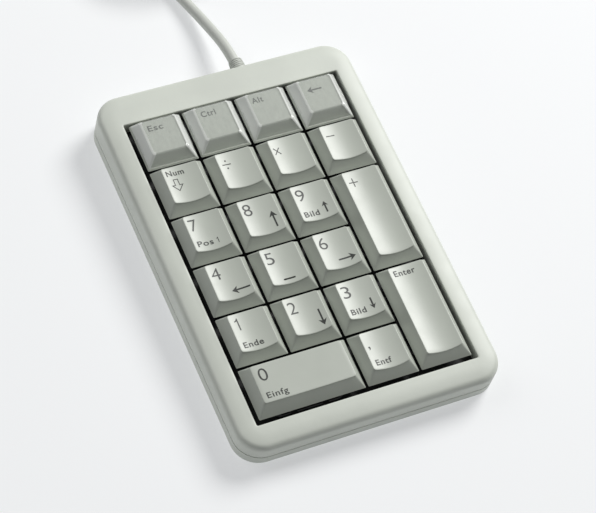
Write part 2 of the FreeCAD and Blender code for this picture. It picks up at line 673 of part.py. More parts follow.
def electronics():
    chip = under_board("chip_body", "0", "pitch", "chip_side", "chip_side", "chip_thick")
    leads = [under_board(f"chip_lead_{side}_{number}", f"{side}*(chip_side+lead_length)/2",
                         f"pitch+{number}*lead_pitch", "lead_length", "lead_width",
                         "lead_thick")
             for side in (-1, 1) for number in range(-3, 4)]
    node("controller_chip", compound("chip_set", chip, *leads))
    node("crystal", compound("crystal_can", under_board("crystal_block", "-pitch", "pitch",
                                                        "crystal_width", "crystal_depth",
                                                        "crystal_thick")))
    node("board_capacitors", compound("capacitor_set", *[
        under_board(f"capacitor_{number}", x, y, "capacitor_width", "capacitor_depth",
                    "capacitor_thick")
        for number, (x, y) in enumerate([
            ("-pitch", "pitch+crystal_gap"), ("-pitch", "pitch-crystal_gap"),
            ("0", "pitch+chip_gap"), ("0", "pitch-chip_gap")])]))
    diode = under_board("diode", "0", "diode_back", "diode_width", "diode_depth",
                        "diode_thick")
    node("key_diodes", repeated("diode_set", diode, [centre(key) for key in KEYS]))
    header = under_board("header_block", "cord_side", "board_reach-header_depth/2-header_inset",
                         "header_length", "header_depth", "header_thick")
    node("cable_header", compound("header_set", header))
    drop = size("board_top") - size("board_thick") - size("header_thick") / 2
    mouth = size("board_reach") - size("header_inset")
    wires = []
    for number in range(4):
        spread = (number - 1.5) * size("core_spread")
        side, back, level = size("cord_side"), size("case_back"), size("cord_level")
        route = [(side + spread, back - size("core_start"), level),
                 (side + spread, back - size("core_bend"), level - size("core_dip")),
                 (side + spread * 2, mouth + size("core_run"), drop),
                 (side + spread * 2, mouth, drop)]
        wires.append(tube(route, size("core_radius"), 0.4)[0])
    node("cable_wires", still("wire_set", Part.makeCompound(wires)))


# ---------------------------------------------------------------- cord and plug

def cable_boot():
    """The strain relief in the back wall: flange inside, neck, and a tapering sleeve."""
    wall, back = size("case_wall"), size("case_back")
    bore = size("cord_radius") + size("boot_bore_play")
    inside = back - wall - size("boot_flange_thick")
    end = back + size("boot_length")
    profile = [(bore, inside), (size("boot_flange"), inside), (size("boot_flange"), back - wall),
               (size("boot_neck"), back - wall), (size("boot_neck"), back),
               (size("boot_sleeve"), back),
               (size("boot_sleeve"), back + size("boot_shoulder")), (size("boot_end"), end),
               (bore, end)]
    corners = [V(size("cord_side") + r, y, size("cord_level")) for r, y in profile]
    face = Part.Face(Part.makePolygon(corners + corners[:1]))
    ring = face.revolve(V(size("cord_side"), 0, size("cord_level")), V(0, 1, 0), 360)
    node("cable_boot", still("boot", ring))


def cord():
    solids = []
    for route in (CORD_TO_COIL, CORD_TO_PLUG):
        solid, length, radii = tube(route, size("cord_radius"))
        section = math.pi * size("cord_radius") ** 2
        print(f"cord {length:.1f} mm long, volume / (section x length) = "
              f"{solid.Volume / section / length:.4f}, radii {[round(r, 1) for r in radii]}")
        solids.append(solid)
    desk_node("usb_cable", still("cord", Part.makeCompound(solids)))
    wide = (size("coil_rows") + 1) * size("cord_radius")
    tall = 2 * size("coil_layers") * size("cord_radius")
    middle = V(size("coil_side"), size("coil_back"), 0)
    ring = Part.makeCylinder(size("coil_radius") + wide, tall, middle).cut(
        Part.makeCylinder(size("coil_radius") - wide, tall, middle))
    ring = ring.makeFillet(size("cord_radius") * 0.9, ring.Edges)
    desk_node("usb_cable_coil", still("coil", ring))


def plug():
    """A USB-A plug: moulded grip, folded metal shell, insulating tongue and four fingers."""
    side, back = "plug_side", "plug_back"
    level = "plug_thick/2"
    grip = rounded("plug_grip", box("plug_block", around(side, "plug_width"),
                                    (back, f"{back}+plug_length"), ("0", "plug_thick")),
                   "plug_corner", lambda edge: abs(edge.Vertexes[0].Y - edge.Vertexes[1].Y) > 1)
    socket = box("plug_socket", around(side, "shell_width"),
                 (f"{back}+plug_length-shell_root", f"{back}+plug_length"),
                 around(level, "shell_thick"))
    desk_node("usb_plug_body", cut("plug_body", grip, socket))

    span = (f"{back}+plug_length-shell_root", f"{back}+plug_length-shell_root+shell_length")
    shell = box("shell_block", around(side, "shell_width"), span, around(level, "shell_thick"))
    room = box("shell_room", around(side, "shell_width-2*shell_wall"),
               (f"{span[0]}+shell_wall", f"{span[1]}+tool_past"),
               around(level, "shell_thick-2*shell_wall"))
    windows = [box(f"shell_window_{number}", around(f"{side}+{sign}*window_side", "window"),
                   around(f"{span[1]}-window_back", "window"), ("0", "plug_thick"))
               for number, sign in enumerate((-1, 1))]
    desk_node("usb_plug_shell", cut("shell", shell, room, *windows))

    low = f"{level}-shell_thick/2+shell_wall"
    tongue = box("tongue", around(side, "shell_width-2*shell_wall"),
                 (f"{span[0]}+shell_wall", f"{span[1]}-tongue_short"),
                 (low, f"{low}+tongue_thick"))
    desk_node("usb_plug_tongue", compound("tongue_set", tongue))
    tip = f"{span[1]}-finger_short"
    fingers = [box(f"finger_{number}", around(f"{side}+({place})", "finger_width"),
                   (f"{tip}-finger_length", tip),
                   (f"{low}+tongue_thick", f"{low}+tongue_thick+finger_thick"))
               for number, place in enumerate(("-finger_outer", "-finger_inner",
                                               "finger_inner", "finger_outer"))]
    desk_node("usb_plug_contacts", compound("finger_set", *fingers))


# ---------------------------------------------------------------- the whole keypad

for key in KEYS:
    keycap(key)
    if key[-1] == "covered":
        cover(key)
top_case()
bottom_case()
case_screws()
rubber_feet()
rating_label()
switch_plate()
circuit_board()
board_screws()
switches()
stabilisers()
electronics()
cable_boot()
cord()
plug()
doc.recompute()

failed = [f"{thing.Name} {thing.State}" for thing in doc.Objects
          if {"Invalid", "Error"} & set(thing.State)]
for piece in nodes:
    if piece.Shape.isNull() or not piece.Shape.isValid() or not piece.Shape.Solids:
        failed.append(f"{piece.Label} has no valid solid")
if failed:
    raise SystemExit("not exported: " + ", ".join(failed))

os.makedirs("parts", exist_ok=True)
for piece in nodes:
    piece.Shape.exportStep(f"parts/{piece.Label}.step")
print(len(nodes), "nodes")
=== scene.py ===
"""The looks of a low numeric keypad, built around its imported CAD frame.

Shapes are worked out in millimetres in the key frame: the origin is the centre of the key
field at the level of the keycaps' lower edges, X is right, Y is back and Z is out of the keys.
TO_DESK lays that frame on the desk in metres. The cord and its plug are given on the desk.
"""
import json
import math

import bmesh
import bpy
from mathutils import Matrix, Vector


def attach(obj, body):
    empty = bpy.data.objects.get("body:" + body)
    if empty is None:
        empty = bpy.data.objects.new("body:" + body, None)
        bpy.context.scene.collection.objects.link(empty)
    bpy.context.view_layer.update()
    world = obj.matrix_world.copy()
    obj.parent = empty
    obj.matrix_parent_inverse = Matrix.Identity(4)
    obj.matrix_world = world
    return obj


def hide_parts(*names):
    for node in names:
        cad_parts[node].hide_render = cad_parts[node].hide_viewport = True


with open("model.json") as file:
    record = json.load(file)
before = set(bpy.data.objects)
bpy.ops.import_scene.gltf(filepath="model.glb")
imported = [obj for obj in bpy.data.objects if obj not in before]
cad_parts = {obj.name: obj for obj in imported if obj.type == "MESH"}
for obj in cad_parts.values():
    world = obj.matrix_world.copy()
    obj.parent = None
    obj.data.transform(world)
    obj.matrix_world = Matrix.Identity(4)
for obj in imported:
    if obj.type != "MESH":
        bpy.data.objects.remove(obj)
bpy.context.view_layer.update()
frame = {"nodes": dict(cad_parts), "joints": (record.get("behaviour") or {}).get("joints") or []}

MM = 0.001
PITCH = 19.05
COLUMNS, ROWS = 4, 6

# name, column, row from the front, width and depth in key units
KEYS = {
    "esc": (0, 5, 1, 1), "ctrl": (1, 5, 1, 1), "alt": (2, 5, 1, 1), "back": (3, 5, 1, 1),
    "num": (0, 4, 1, 1), "divide": (1, 4, 1, 1), "multiply": (2, 4, 1, 1),
    "minus": (3, 4, 1, 1), "7": (0, 3, 1, 1), "8": (1, 3, 1, 1), "9": (2, 3, 1, 1),
    "plus": (3, 2, 1, 2), "4": (0, 2, 1, 1), "5": (1, 2, 1, 1), "6": (2, 2, 1, 1),
    "1": (0, 1, 1, 1), "2": (1, 1, 1, 1), "3": (2, 1, 1, 1), "enter": (3, 0, 1, 2),
    "0": (0, 0, 2, 1), "comma": (2, 0, 1, 1),
}
COVERED = ("esc", "ctrl", "alt", "back")

# The key frame's tilt comes from the direction in which the keys travel, and its place on
# the desk from the middle of the four keys round the centre of the field.
press = next(joint for joint in frame["joints"] if joint["name"] == "press_5")
TILT = math.atan2(press["axis"][1], -press["axis"][2])
KEY_LEVEL, CENTRE_SHIFT = 12.0, -1.63
TO_DESK = (Matrix.Translation((0, CENTRE_SHIFT * MM, KEY_LEVEL * MM))
           @ Matrix.Rotation(TILT, 4, "X") @ Matrix.Scale(MM, 4))
ON_DESK = Matrix.Scale(MM, 4)

# ---------------------------------------------------------------- mesh helpers


def rounded_ring(x0, x1, y0, y1, radius, side=8, corner=5):
    """Points round a rounded rectangle, the same number whatever its size."""
    points = []
    corners = [(x1 - radius, y0 + radius, -90), (x1 - radius, y1 - radius, 0),
               (x0 + radius, y1 - radius, 90), (x0 + radius, y0 + radius, 180)]
    for number, (cx, cy, start) in enumerate(corners):
        for step in range(corner + 1):
            angle = math.radians(start + 90 * step / corner)
            points.append((cx + radius * math.cos(angle), cy + radius * math.sin(angle)))
        nx, ny, turn = corners[(number + 1) % 4]
        angle = math.radians(turn)
        ahead = (nx + radius * math.cos(angle), ny + radius * math.sin(angle))
        last = points[-1]
        for step in range(1, side):
            share = step / side
            points.append((last[0] + (ahead[0] - last[0]) * share,
                           last[1] + (ahead[1] - last[1]) * share))
    return points


def lifted(points, height):
    """Points of a ring at a height, which may be a function of x and y."""
    return [(x, y, height(x, y) if callable(height) else height) for x, y in points]


def loft_into(bm, rings, closed=False):
    """Adds a skin over rings of as many points each, its ends filled or joined."""
    rows = [[bm.verts.new(point) for point in ring] for ring in rings]
    pairs = list(zip(rows, rows[1:])) + ([(rows[-1], rows[0])] if closed else [])
    for low, high in pairs:
        for i in range(len(low)):
            j = (i + 1) % len(low)
            bm.faces.new((low[i], low[j], high[j], high[i]))
    if not closed:
        bm.faces.new(list(reversed(rows[0])))
        bm.faces.new(rows[-1])


def finished(name, bm, material, matrix=TO_DESK, sharp=35):
    """Makes a mesh object with outward faces, smooth but for its sharp edges."""
    bmesh.ops.recalc_face_normals(bm, faces=bm.faces)
    mesh = bpy.data.meshes.new(name)
    bm.to_mesh(mesh)
    bm.free()
    mesh.transform(matrix)
    mesh.set_sharp_from_angle(angle=math.radians(sharp))
    mesh.materials.append(material)
    piece = bpy.data.objects.new(name, mesh)
    bpy.context.scene.collection.objects.link(piece)
    return piece


def loft(name, rings, material, matrix=TO_DESK, closed=False, sharp=35):
    bm = bmesh.new()
    loft_into(bm, rings, closed)
    return finished(name, bm, material, matrix, sharp)


def lathe_rings(profile, place, steps):
    """Rings of a body of revolution: profile is (radius, distance), place maps to space."""
    rings = []
    for radius, along in profile:
        ring = []
        for step in range(steps):
            angle = 2 * math.pi * step / steps
            ring.append(place(radius * math.cos(angle), radius * math.sin(angle), along))
        rings.append(ring)
    return rings


def shrunk(ring, share, middle):
    """A ring drawn in towards a point on the Y axis."""
    return [(x * share, middle + (y - middle) * share) for x, y in ring]


def stands_for(piece, body, slot, *nodes):
    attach(piece, body)
    if nodes:
        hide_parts(*nodes)
    return piece


# ---------------------------------------------------------------- materials

RAMP_LOW, RAMP_HIGH = 0.35, 0.65
MOULDED_TINT = 0.03
# depth of relief in metres
DRAWN_LINES, WEAVE, WIPE_MARKS, FIBRES = 0.000004, 0.000006, 0.000002, 0.000008


def material(name, color, roughness, metallic=0.0, **sockets):
    made = bpy.data.materials.new(name)
    made.use_nodes = True
    shader = made.node_tree.nodes["Principled BSDF"]
    shader.inputs["Base Color"].default_value = (*color, 1)
    shader.inputs["Roughness"].default_value = roughness
    shader.inputs["Metallic"].default_value = metallic
    for socket, value in sockets.items():
        shader.inputs[socket.replace("_", " ")].default_value = value
    return made


def add(made, kind, **inputs):
    node = made.node_tree.nodes.new(kind)
    for name, value in inputs.items():
        node.inputs[name.replace("_", " ")].default_value = value
    return node


def link(made, source, output, target, socket):
    made.node_tree.links.new(source.outputs[output], target.inputs[socket])


def noise(made, scale, detail=2.0, roughness=0.5, stretch=(1, 1, 1)):
    """Noise in the object's own space, so that its grain keeps its size in metres."""
    place = add(made, "ShaderNodeTexCoord")
    mapping = add(made, "ShaderNodeMapping", Scale=stretch)
    field = add(made, "ShaderNodeTexNoise", Scale=scale, Detail=detail, Roughness=roughness)
    link(made, place, "Object", mapping, "Vector")
    link(made, mapping, "Vector", field, "Vector")
    return field


def vary_color(made, field, dark, light):
    ramp = add(made, "ShaderNodeValToRGB")
    first, last = ramp.color_ramp.elements
    first.position, last.position = RAMP_LOW, RAMP_HIGH
    first.color, last.color = (*dark, 1), (*light, 1)
    link(made, field, "Fac", ramp, "Fac")
    link(made, ramp, "Color", made.node_tree.nodes["Principled BSDF"], "Base Color")


def vary_roughness(made, field, low, high):
    span = add(made, "ShaderNodeMapRange")
    span.inputs["To Min"].default_value, span.inputs["To Max"].default_value = low, high
    link(made, field, "Fac", span, "Value")
    link(made, span, "Result", made.node_tree.nodes["Principled BSDF"], "Roughness")


def bump(made, field, distance, below=None):
    relief = add(made, "ShaderNodeBump", Strength=1.0, Distance=distance)
    link(made, field, "Fac", relief, "Height")
    if below:
        link(made, below, "Normal", relief, "Normal")
    link(made, relief, "Normal", made.node_tree.nodes["Principled BSDF"], "Normal")
    return relief


def scaled(color, factor):
    return tuple(channel * factor for channel in color)


def moulded(name, color, roughness, grain=3200.0, depth=0.000012):
    """Moulded plastic: a fine spark-eroded grain, slow colour drift and uneven sheen."""
    made = material(name, color, roughness)
    vary_color(made, noise(made, 45.0, 3.0), scaled(color, 1 - MOULDED_TINT),
               scaled(color, 1 + MOULDED_TINT))
    vary_roughness(made, noise(made, 160.0, 2.0), roughness - 0.05, roughness + 0.06)
    soft = bump(made, noise(made, grain / 6, 2.0), depth * 1.5)
    bump(made, noise(made, grain, 3.0), depth, below=soft)
    return made


CASE_GREY = (0.62, 0.65, 0.59)
CAP_GREY = (0.50, 0.53, 0.475)
case_plastic = moulded("case_plastic", CASE_GREY, 0.46)
cap_plastic = moulded("cap_plastic", CAP_GREY, 0.36, grain=4200.0, depth=0.000006)
cap_smooth = moulded("cap_smooth_plastic", CAP_GREY, 0.30, grain=4200.0, depth=0.000003)
legend_ink = moulded("legend_ink", (0.030, 0.034, 0.030), 0.5, grain=5000.0, depth=0.000002)
pale_ink = moulded("paper_ink", (0.13, 0.14, 0.13), 0.7, grain=5000.0, depth=0.000002)


def speckled(name, color, roughness, scale, tint, metallic=0.0, depth=0.000004, **sockets):
    """A plain part's finish: a fine uneven colour, sheen and surface of its own scale."""
    made = material(name, color, roughness, metallic, **sockets)
    vary_color(made, noise(made, scale, 4.0, 0.6), scaled(color, 1 - tint),
               scaled(color, 1 + tint))
    vary_roughness(made, noise(made, scale * 2, 3.0), roughness - 0.06, roughness + 0.08)
    bump(made, noise(made, scale * 4, 3.0), depth)
    return made


def brushed(name, color, roughness, stretch):
    """Metal with drawn or rolled lines along one axis."""
    made = material(name, color, roughness, 1.0)
    lines = noise(made, 900.0, 4.0, 0.6, stretch)
    vary_color(made, noise(made, 260.0, 3.0), scaled(color, 0.88), color)
    vary_roughness(made, lines, roughness - 0.08, roughness + 0.12)
    bump(made, lines, DRAWN_LINES)
    return made


def laminate():
    """Glass laminate under green solder resist, with the weave faintly showing."""
    made = material("board_laminate", (0.012, 0.105, 0.040), 0.38)
    weave = add(made, "ShaderNodeTexWave", Scale=420.0, Distortion=0.6)
    cross = add(made, "ShaderNodeTexWave", Scale=420.0, Distortion=0.6)
    cross.bands_direction = "Y"
    place = add(made, "ShaderNodeTexCoord")
    link(made, place, "Object", weave, "Vector")
    link(made, place, "Object", cross, "Vector")
    vary_color(made, noise(made, 120.0, 3.0), (0.010, 0.085, 0.032), (0.016, 0.125, 0.050))
    relief = bump(made, weave, WEAVE)
    bump(made, cross, WEAVE, below=relief)
    return made


def clear(name, thin, thick, painted_glow):
    """Clear styrene, seen mostly by its gloss and its edges, with faint wipe marks; its glow is
    painted light.
    """
    made = material(name, (0.88, 0.90, 0.87), 0.08, Emission_Strength=painted_glow,
                    Emission_Color=(0.95, 1.0, 0.95, 1))
    facing = add(made, "ShaderNodeLayerWeight", Blend=0.3)
    haze = add(made, "ShaderNodeMapRange")
    haze.inputs["To Min"].default_value, haze.inputs["To Max"].default_value = thin, thick
    link(made, facing, "Facing", haze, "Value")
    link(made, haze, "Result", made.node_tree.nodes["Principled BSDF"], "Alpha")
    vary_roughness(made, noise(made, 240.0, 3.0), 0.05, 0.16)
    bump(made, noise(made, 1500.0, 2.0), WIPE_MARKS)
    return made


def paper_fibres():
    made = material("legend_paper", (0.47, 0.50, 0.45), 0.85)
    vary_color(made, noise(made, 900.0, 5.0, 0.7, (1, 0.35, 1)), (0.44, 0.47, 0.42),
               (0.50, 0.53, 0.475))
    bump(made, noise(made, 2400.0, 4.0), FIBRES)
    return made


clear_plastic = clear("clear_plastic", 0.08, 0.4, 0.0)
# a more opaque, faintly glowing copy that paints a cover's side walls lighter, as if lit
clear_side_painted_lit = clear("clear_side_painted_lit", 0.6, 0.9, 0.02)
# a glowing copy that paints a highlight on a cover's bevel
clear_edge_painted_highlight = clear("clear_edge_painted_highlight", 0.85, 1.0, 0.45)
paper_grey = paper_fibres()
stem_plastic = speckled("stem_plastic", (0.014, 0.014, 0.015), 0.42, 500.0, 0.25)
jacket = moulded("cord_jacket", (0.56, 0.58, 0.54), 0.48, grain=2600.0, depth=0.00001)
plug_grip = moulded("plug_grip", (0.50, 0.52, 0.48), 0.5, grain=1800.0, depth=0.00002)
foot_rubber = speckled("foot_rubber", (0.035, 0.036, 0.036), 0.78, 1400.0, 0.2,
                       depth=0.00002)
FINISHES = {
    "case_plastic": case_plastic, "keycap_plastic": cap_plastic, "cord_jacket": jacket,
    "plug_grip": plug_grip, "foot_rubber": foot_rubber, "clear_plastic": clear_plastic,
    "paper": paper_grey, "board_laminate": laminate(),
    "black_sheet": speckled("black_sheet", (0.016, 0.017, 0.018), 0.55, 700.0, 0.3),
    "switch_plastic": speckled("switch_plastic", (0.013, 0.013, 0.014), 0.45, 600.0, 0.25),
    "black_plastic": speckled("black_plastic", (0.018, 0.018, 0.019), 0.5, 500.0, 0.25),
    "wire_steel": brushed("wire_steel", (0.10, 0.10, 0.105), 0.42, (1, 6, 6)),
    "contact_metal": brushed("contact_metal", (0.80, 0.62, 0.28), 0.28, (6, 6, 1)),
    "screw_steel": brushed("screw_steel", (0.46, 0.47, 0.48), 0.34, (3, 3, 3)),
    "plug_shell_metal": brushed("plug_shell_metal", (0.70, 0.70, 0.69), 0.22, (1, 9, 1)),
    "can_metal": brushed("can_metal", (0.66, 0.66, 0.64), 0.3, (9, 1, 1)),
    "tongue_plastic": speckled("tongue_plastic", (0.80, 0.79, 0.75), 0.5, 800.0, 0.05),
    "chip_resin": speckled("chip_resin", (0.018, 0.018, 0.018), 0.6, 1500.0, 0.3),
    "ceramic": speckled("ceramic", (0.36, 0.26, 0.17), 0.45, 1500.0, 0.1),
    "header_plastic": speckled("header_plastic", (0.78, 0.76, 0.68), 0.45, 700.0, 0.05),
    "wire_insulation": speckled("wire_insulation", (0.30, 0.03, 0.025), 0.45, 600.0, 0.15),
    "label_film": speckled("label_film", (0.70, 0.71, 0.69), 0.32, 500.0, 0.04),
}


# ---------------------------------------------------------------- keycaps

CAP_BASE, CAP_HEIGHT = 18.15, 4.1
SIDE_TAPER, FRONT_TAPER, BACK_TAPER = 2.8, 3.65, 1.55
FRONT_EDGE, BACK_EDGE = 4.0, 4.15
CAP_WALL, CAP_CEILING = 1.2, 2.7
DISH_DEPTH, LONG_DISH_DEPTH = 0.72, 0.12
EDGE_ROUND, EDGE_STEPS, TOP_STEPS = 0.32, 5, 14
RIM_HEIGHT, RIM_INSET, CEILING_CORNER = 0.06, 0.12, 0.6
BASE_CORNER, TOP_CORNER = 0.3, 0.95
STEP_HEIGHT, COVER_WALL, COVER_ROOF = 0.55, 0.3, 0.3
SEAT_GAP, SEAT_BEVEL, SEAT_LEAN, WALL_GAP = 0.12, 0.12, 0.15, 0.04
BORE, BORE_TOP, SLIDER_FOOT, SLIDER_TOP = 1.5, 0.6, -2.7, -1.25
BORE_CENTRE, SLIDER_HALF, STEM_HALF, RING_POINTS = 0.2, 2.8, 1.8, 32
HOMING_Y, HOMING_HALF, HOMING_THICK, HOMING_RISE = -4.45, 2.05, 0.2, 0.26


class Cap:
    """The outer form of a keycap: a tapered block whose top is dished across X."""

    def __init__(self, name):
        _, _, width, depth = KEYS[name]
        self.half_x = ((width - 1) * PITCH + CAP_BASE) / 2
        self.half_y = ((depth - 1) * PITCH + CAP_BASE) / 2
        self.dish = LONG_DISH_DEPTH if width > 1 else DISH_DEPTH
        if name in COVERED:
            self.dish = 0.0
        self.top_x = self.half_x - SIDE_TAPER
        self.front = -self.half_y + FRONT_TAPER
        self.back = self.half_y - BACK_TAPER
        self.middle = (self.front + self.back) / 2

    def edge_height(self, y):
        share = (y - self.front) / (self.back - self.front)
        return FRONT_EDGE + (BACK_EDGE - FRONT_EDGE) * min(max(share, 0), 1)

    def top(self, x, y):
        across = min(abs(x) / self.top_x, 1.1)
        return self.edge_height(y) - self.dish * (1 - across ** 2)

    def outline(self, share, inset=0.0, corner=None, side=14):
        """The ring at a share of the taper, 0 at the base and 1 at the top."""
        if corner is None:
            corner = BASE_CORNER + (TOP_CORNER - BASE_CORNER) * share
        reach_x = self.half_x - SIDE_TAPER * share - inset
        return rounded_ring(-reach_x, reach_x, -self.half_y + FRONT_TAPER * share + inset,
                            self.half_y - BACK_TAPER * share - inset, corner, side, 6)


def crown(cap):
    """Rings up a cap's flat walls to where the dish cuts them, over the edge and inward."""
    base, full = cap.outline(0.0), cap.outline(1.0)
    inner = cap.outline(1.0, EDGE_ROUND, TOP_CORNER - EDGE_ROUND)

    def along(i, share):
        return tuple(a + (b - a) * share for a, b in zip(base[i], full[i]))

    shares = []
    for i in range(len(base)):
        share = 1.0
        for _ in range(4):
            share = cap.top(*along(i, share)) / CAP_HEIGHT
        shares.append(share)
    rings = []
    for step in (0.0, 0.04, 0.5, 0.9, 1.0):
        ring = []
        for i, share in enumerate(shares):
            end = share - EDGE_ROUND / CAP_HEIGHT
            start = RIM_HEIGHT / CAP_HEIGHT
            here = start + (end - start) * step
            ring.append((*along(i, here), here * CAP_HEIGHT))
        rings.append(ring)
    rims = []
    for i, share in enumerate(shares):
        x, y = along(i, share - EDGE_ROUND / CAP_HEIGHT)
        inward = (inner[i][0] - full[i][0], inner[i][1] - full[i][1])
        rims.append((x, y, inward))
    for step in range(1, EDGE_STEPS + 1):
        angle = math.radians(90 * step / EDGE_STEPS)
        ring = []
        for x, y, inward in rims:
            at = (x + inward[0] * (1 - math.cos(angle)), y + inward[1] * (1 - math.cos(angle)))
            ring.append((*at, cap.top(*at) - EDGE_ROUND * (1 - math.sin(angle))))
        rings.append(ring)
    last = [(x, y) for x, y, _ in rings[-1]]
    for step in range(1, TOP_STEPS):
        rings.append(lifted(shrunk(last, 1 - step / TOP_STEPS, cap.middle), cap.top))
    return rings


def hollow(cap):
    """Rings from the middle of a cap's ceiling out and down to its lower rim."""
    top = cap.outline(CAP_CEILING / CAP_HEIGHT, CAP_WALL, CEILING_CORNER)
    return [lifted(shrunk(top, 0.3, cap.middle), CAP_CEILING), lifted(top, CAP_CEILING),
            lifted(cap.outline(0.02, CAP_WALL, CEILING_CORNER), 0.02),
            lifted(cap.outline(0.0, RIM_INSET), 0.0)]


def key_centre(name):
    column, row, width, depth = KEYS[name]
    return Vector(((column + width / 2 - COLUMNS / 2) * PITCH,
                   (row + depth / 2 - ROWS / 2) * PITCH, 0))


def at_key(name):
    return TO_DESK @ Matrix.Translation(key_centre(name))


def square_ring(half, height):
    """A square's outline with as many points as a round ring."""
    ring = []
    for i in range(RING_POINTS):
        angle = 2 * math.pi * i / RING_POINTS
        x, y = math.cos(angle), math.sin(angle)
        reach = half / max(abs(x), abs(y))
        ring.append((x * reach, y * reach, height))
    return ring


def round_ring(radius, height):
    return lathe_rings([(radius, height)], lambda x, y, z: (x, y, z), RING_POINTS)[0]


def plunger():
    """Rings of the black stem and slider under a cap, bored for the spring."""
    return [round_ring(BORE_CENTRE, BORE_TOP), round_ring(BORE, BORE_TOP),
            round_ring(BORE, SLIDER_FOOT), square_ring(SLIDER_HALF, SLIDER_FOOT),
            square_ring(SLIDER_HALF, SLIDER_TOP), square_ring(STEM_HALF, SLIDER_TOP),
            square_ring(STEM_HALF, CAP_CEILING)]


def make_keycap(name):
    cap = Cap(name)
    body = f"{name}_key"
    if name in COVERED:
        rings = covered_cap(cap)
    else:
        rings = hollow(cap) + crown(cap)
    piece = loft(f"keycap_{name}", rings, cap_smooth if name in COVERED else cap_plastic,
                 at_key(name), sharp=28)
    stands_for(piece, body, "keycap_plastic", f"key_{name}")
    stem = loft(f"plunger_{name}", plunger(), stem_plastic, at_key(name))
    stands_for(stem, body, "keycap_plastic")
    if name == "5":
        make_homing_bar(cap)


def covered_cap(cap):
    """A cap stepped in above its foot, to seat the clear cover."""
    seat = CAP_HEIGHT - COVER_ROOF - SEAT_GAP
    inset = COVER_WALL + WALL_GAP
    rings = hollow(cap)
    for height, step_in in ((RIM_HEIGHT, 0.0), (STEP_HEIGHT, 0.0), (STEP_HEIGHT, inset),
                            (seat - SEAT_BEVEL, inset), (seat, inset + SEAT_LEAN)):
        rings.append(lifted(cap.outline(height / CAP_HEIGHT, step_in), height))
    last = cap.outline(seat / CAP_HEIGHT, inset + SEAT_LEAN)
    return rings + [lifted(shrunk(last, share, cap.middle), seat) for share in (0.7, 0.1)]


def make_homing_bar(cap):
    """The raised bar that a finger finds on the 5, coloured dark in the legend ink as painted
    shade.
    """
    rings = []
    for inset, lift in ((0.0, -0.1), (0.0, HOMING_RISE * 0.6), (0.08, HOMING_RISE * 0.9),
                        (0.2, HOMING_RISE)):
        ring = rounded_ring(-HOMING_HALF + inset, HOMING_HALF - inset,
                            HOMING_Y - HOMING_THICK + inset, HOMING_Y + HOMING_THICK - inset,
                            HOMING_THICK - inset * 1.1, 6, 4)
        rings.append([(x, y, cap.top(x, y) + lift) for x, y in ring])
    # the dark legend ink on the bar is painted shade
    bar = loft("homing_bar", rings, legend_ink, at_key("5"))
    stands_for(bar, "5_key", "keycap_plastic")


# ---------------------------------------------------------------- clear covers

CLIP_HALF, CLIP_FOOT, CLIP_THICK, CLIP_TOP = 3.4, 0.12, 0.22, 1.25
CLIP_GRIP, CLIP_ROUND, CLIP_BEVEL, CLIP_TAPER = 0.01, 0.1, 0.15, 0.2
COVER_EDGE, COVER_SHOULDER, COVER_BEVEL, COVER_LIP = 0.5, 2.2, 0.1, 0.08
PAPER_EDGE, PAPER_TOP, PAPER_FOOT = 0.2, 0.01, 0.1
# the faces of a cover, by how its normal leans: the bevel round the top, given a painted
# highlight, and the side walls, painted lighter
BEVEL_LEAST, BEVEL_MOST, SIDE_LEAST = 0.5, 0.98, 0.6
# material slots of the copies that paint the side walls lighter and paint the bevel's highlight
PAINTED_LIT_SIDE, PAINTED_HIGHLIGHT_EDGE = 1, 2


def make_cover(name):
    """A thin clear shell with a bevelled edge in a painted highlight, side walls painted
    lighter, and a clip down each side.
    """
    cap = Cap(name)
    foot = STEP_HEIGHT + WALL_GAP
    outer = [lifted(cap.outline(height / CAP_HEIGHT, inset), height)
             for height, inset in ((foot, COVER_LIP), (foot + COVER_BEVEL, 0.0),
                                   (COVER_SHOULDER, 0.0),
                                   (CAP_HEIGHT - COVER_EDGE * 0.6, 0.0))]
    top = cap.outline(1.0, COVER_EDGE, 0.6)
    outer += [lifted(shrunk(top, share, cap.middle), CAP_HEIGHT)
              for share in (1.0, 0.97, 0.5, 0.1)]
    ceiling = CAP_HEIGHT - COVER_ROOF
    inside = cap.outline(ceiling / CAP_HEIGHT, COVER_WALL, 0.7)
    inner = [lifted(shrunk(inside, share, cap.middle), ceiling) for share in (0.1, 1.0)]
    inner.append(lifted(cap.outline(foot / CAP_HEIGHT, COVER_WALL, 0.5), foot))
    shell = loft(f"clear_cover_{name}", inner + outer, clear_plastic, at_key(name), sharp=20)
    shell.data.materials.append(clear_side_painted_lit)
    shell.data.materials.append(clear_edge_painted_highlight)
    to_key = at_key(name).inverted()
    # bevel faces get the glowing copy, a painted highlight; side-wall faces get the copy that
    # paints them lighter
    for face in shell.data.polygons:
        x, y, z = to_key.to_3x3() @ face.normal
        centre = to_key @ face.center
        leans = BEVEL_LEAST < abs(z) < BEVEL_MOST
        if centre.z > CAP_HEIGHT - COVER_EDGE * 0.5 and leans and (
                abs(x) > abs(y) or centre.y < 0):
            face.material_index = PAINTED_HIGHLIGHT_EDGE
        elif abs(x) > SIDE_LEAST:
            face.material_index = PAINTED_LIT_SIDE
    stands_for(shell, f"{name}_key", "clear_plastic", f"clear_cover_{name}")
    make_clips(name, cap)
    slip = cap.outline(ceiling / CAP_HEIGHT, COVER_WALL + PAPER_EDGE, 0.6)
    paper = loft(f"paper_{name}", [lifted(slip, ceiling - PAPER_FOOT),
                                   lifted(slip, ceiling - PAPER_TOP)],
                 paper_grey, at_key(name))
    stands_for(paper, f"{name}_key", "paper", f"paper_legend_{name}")


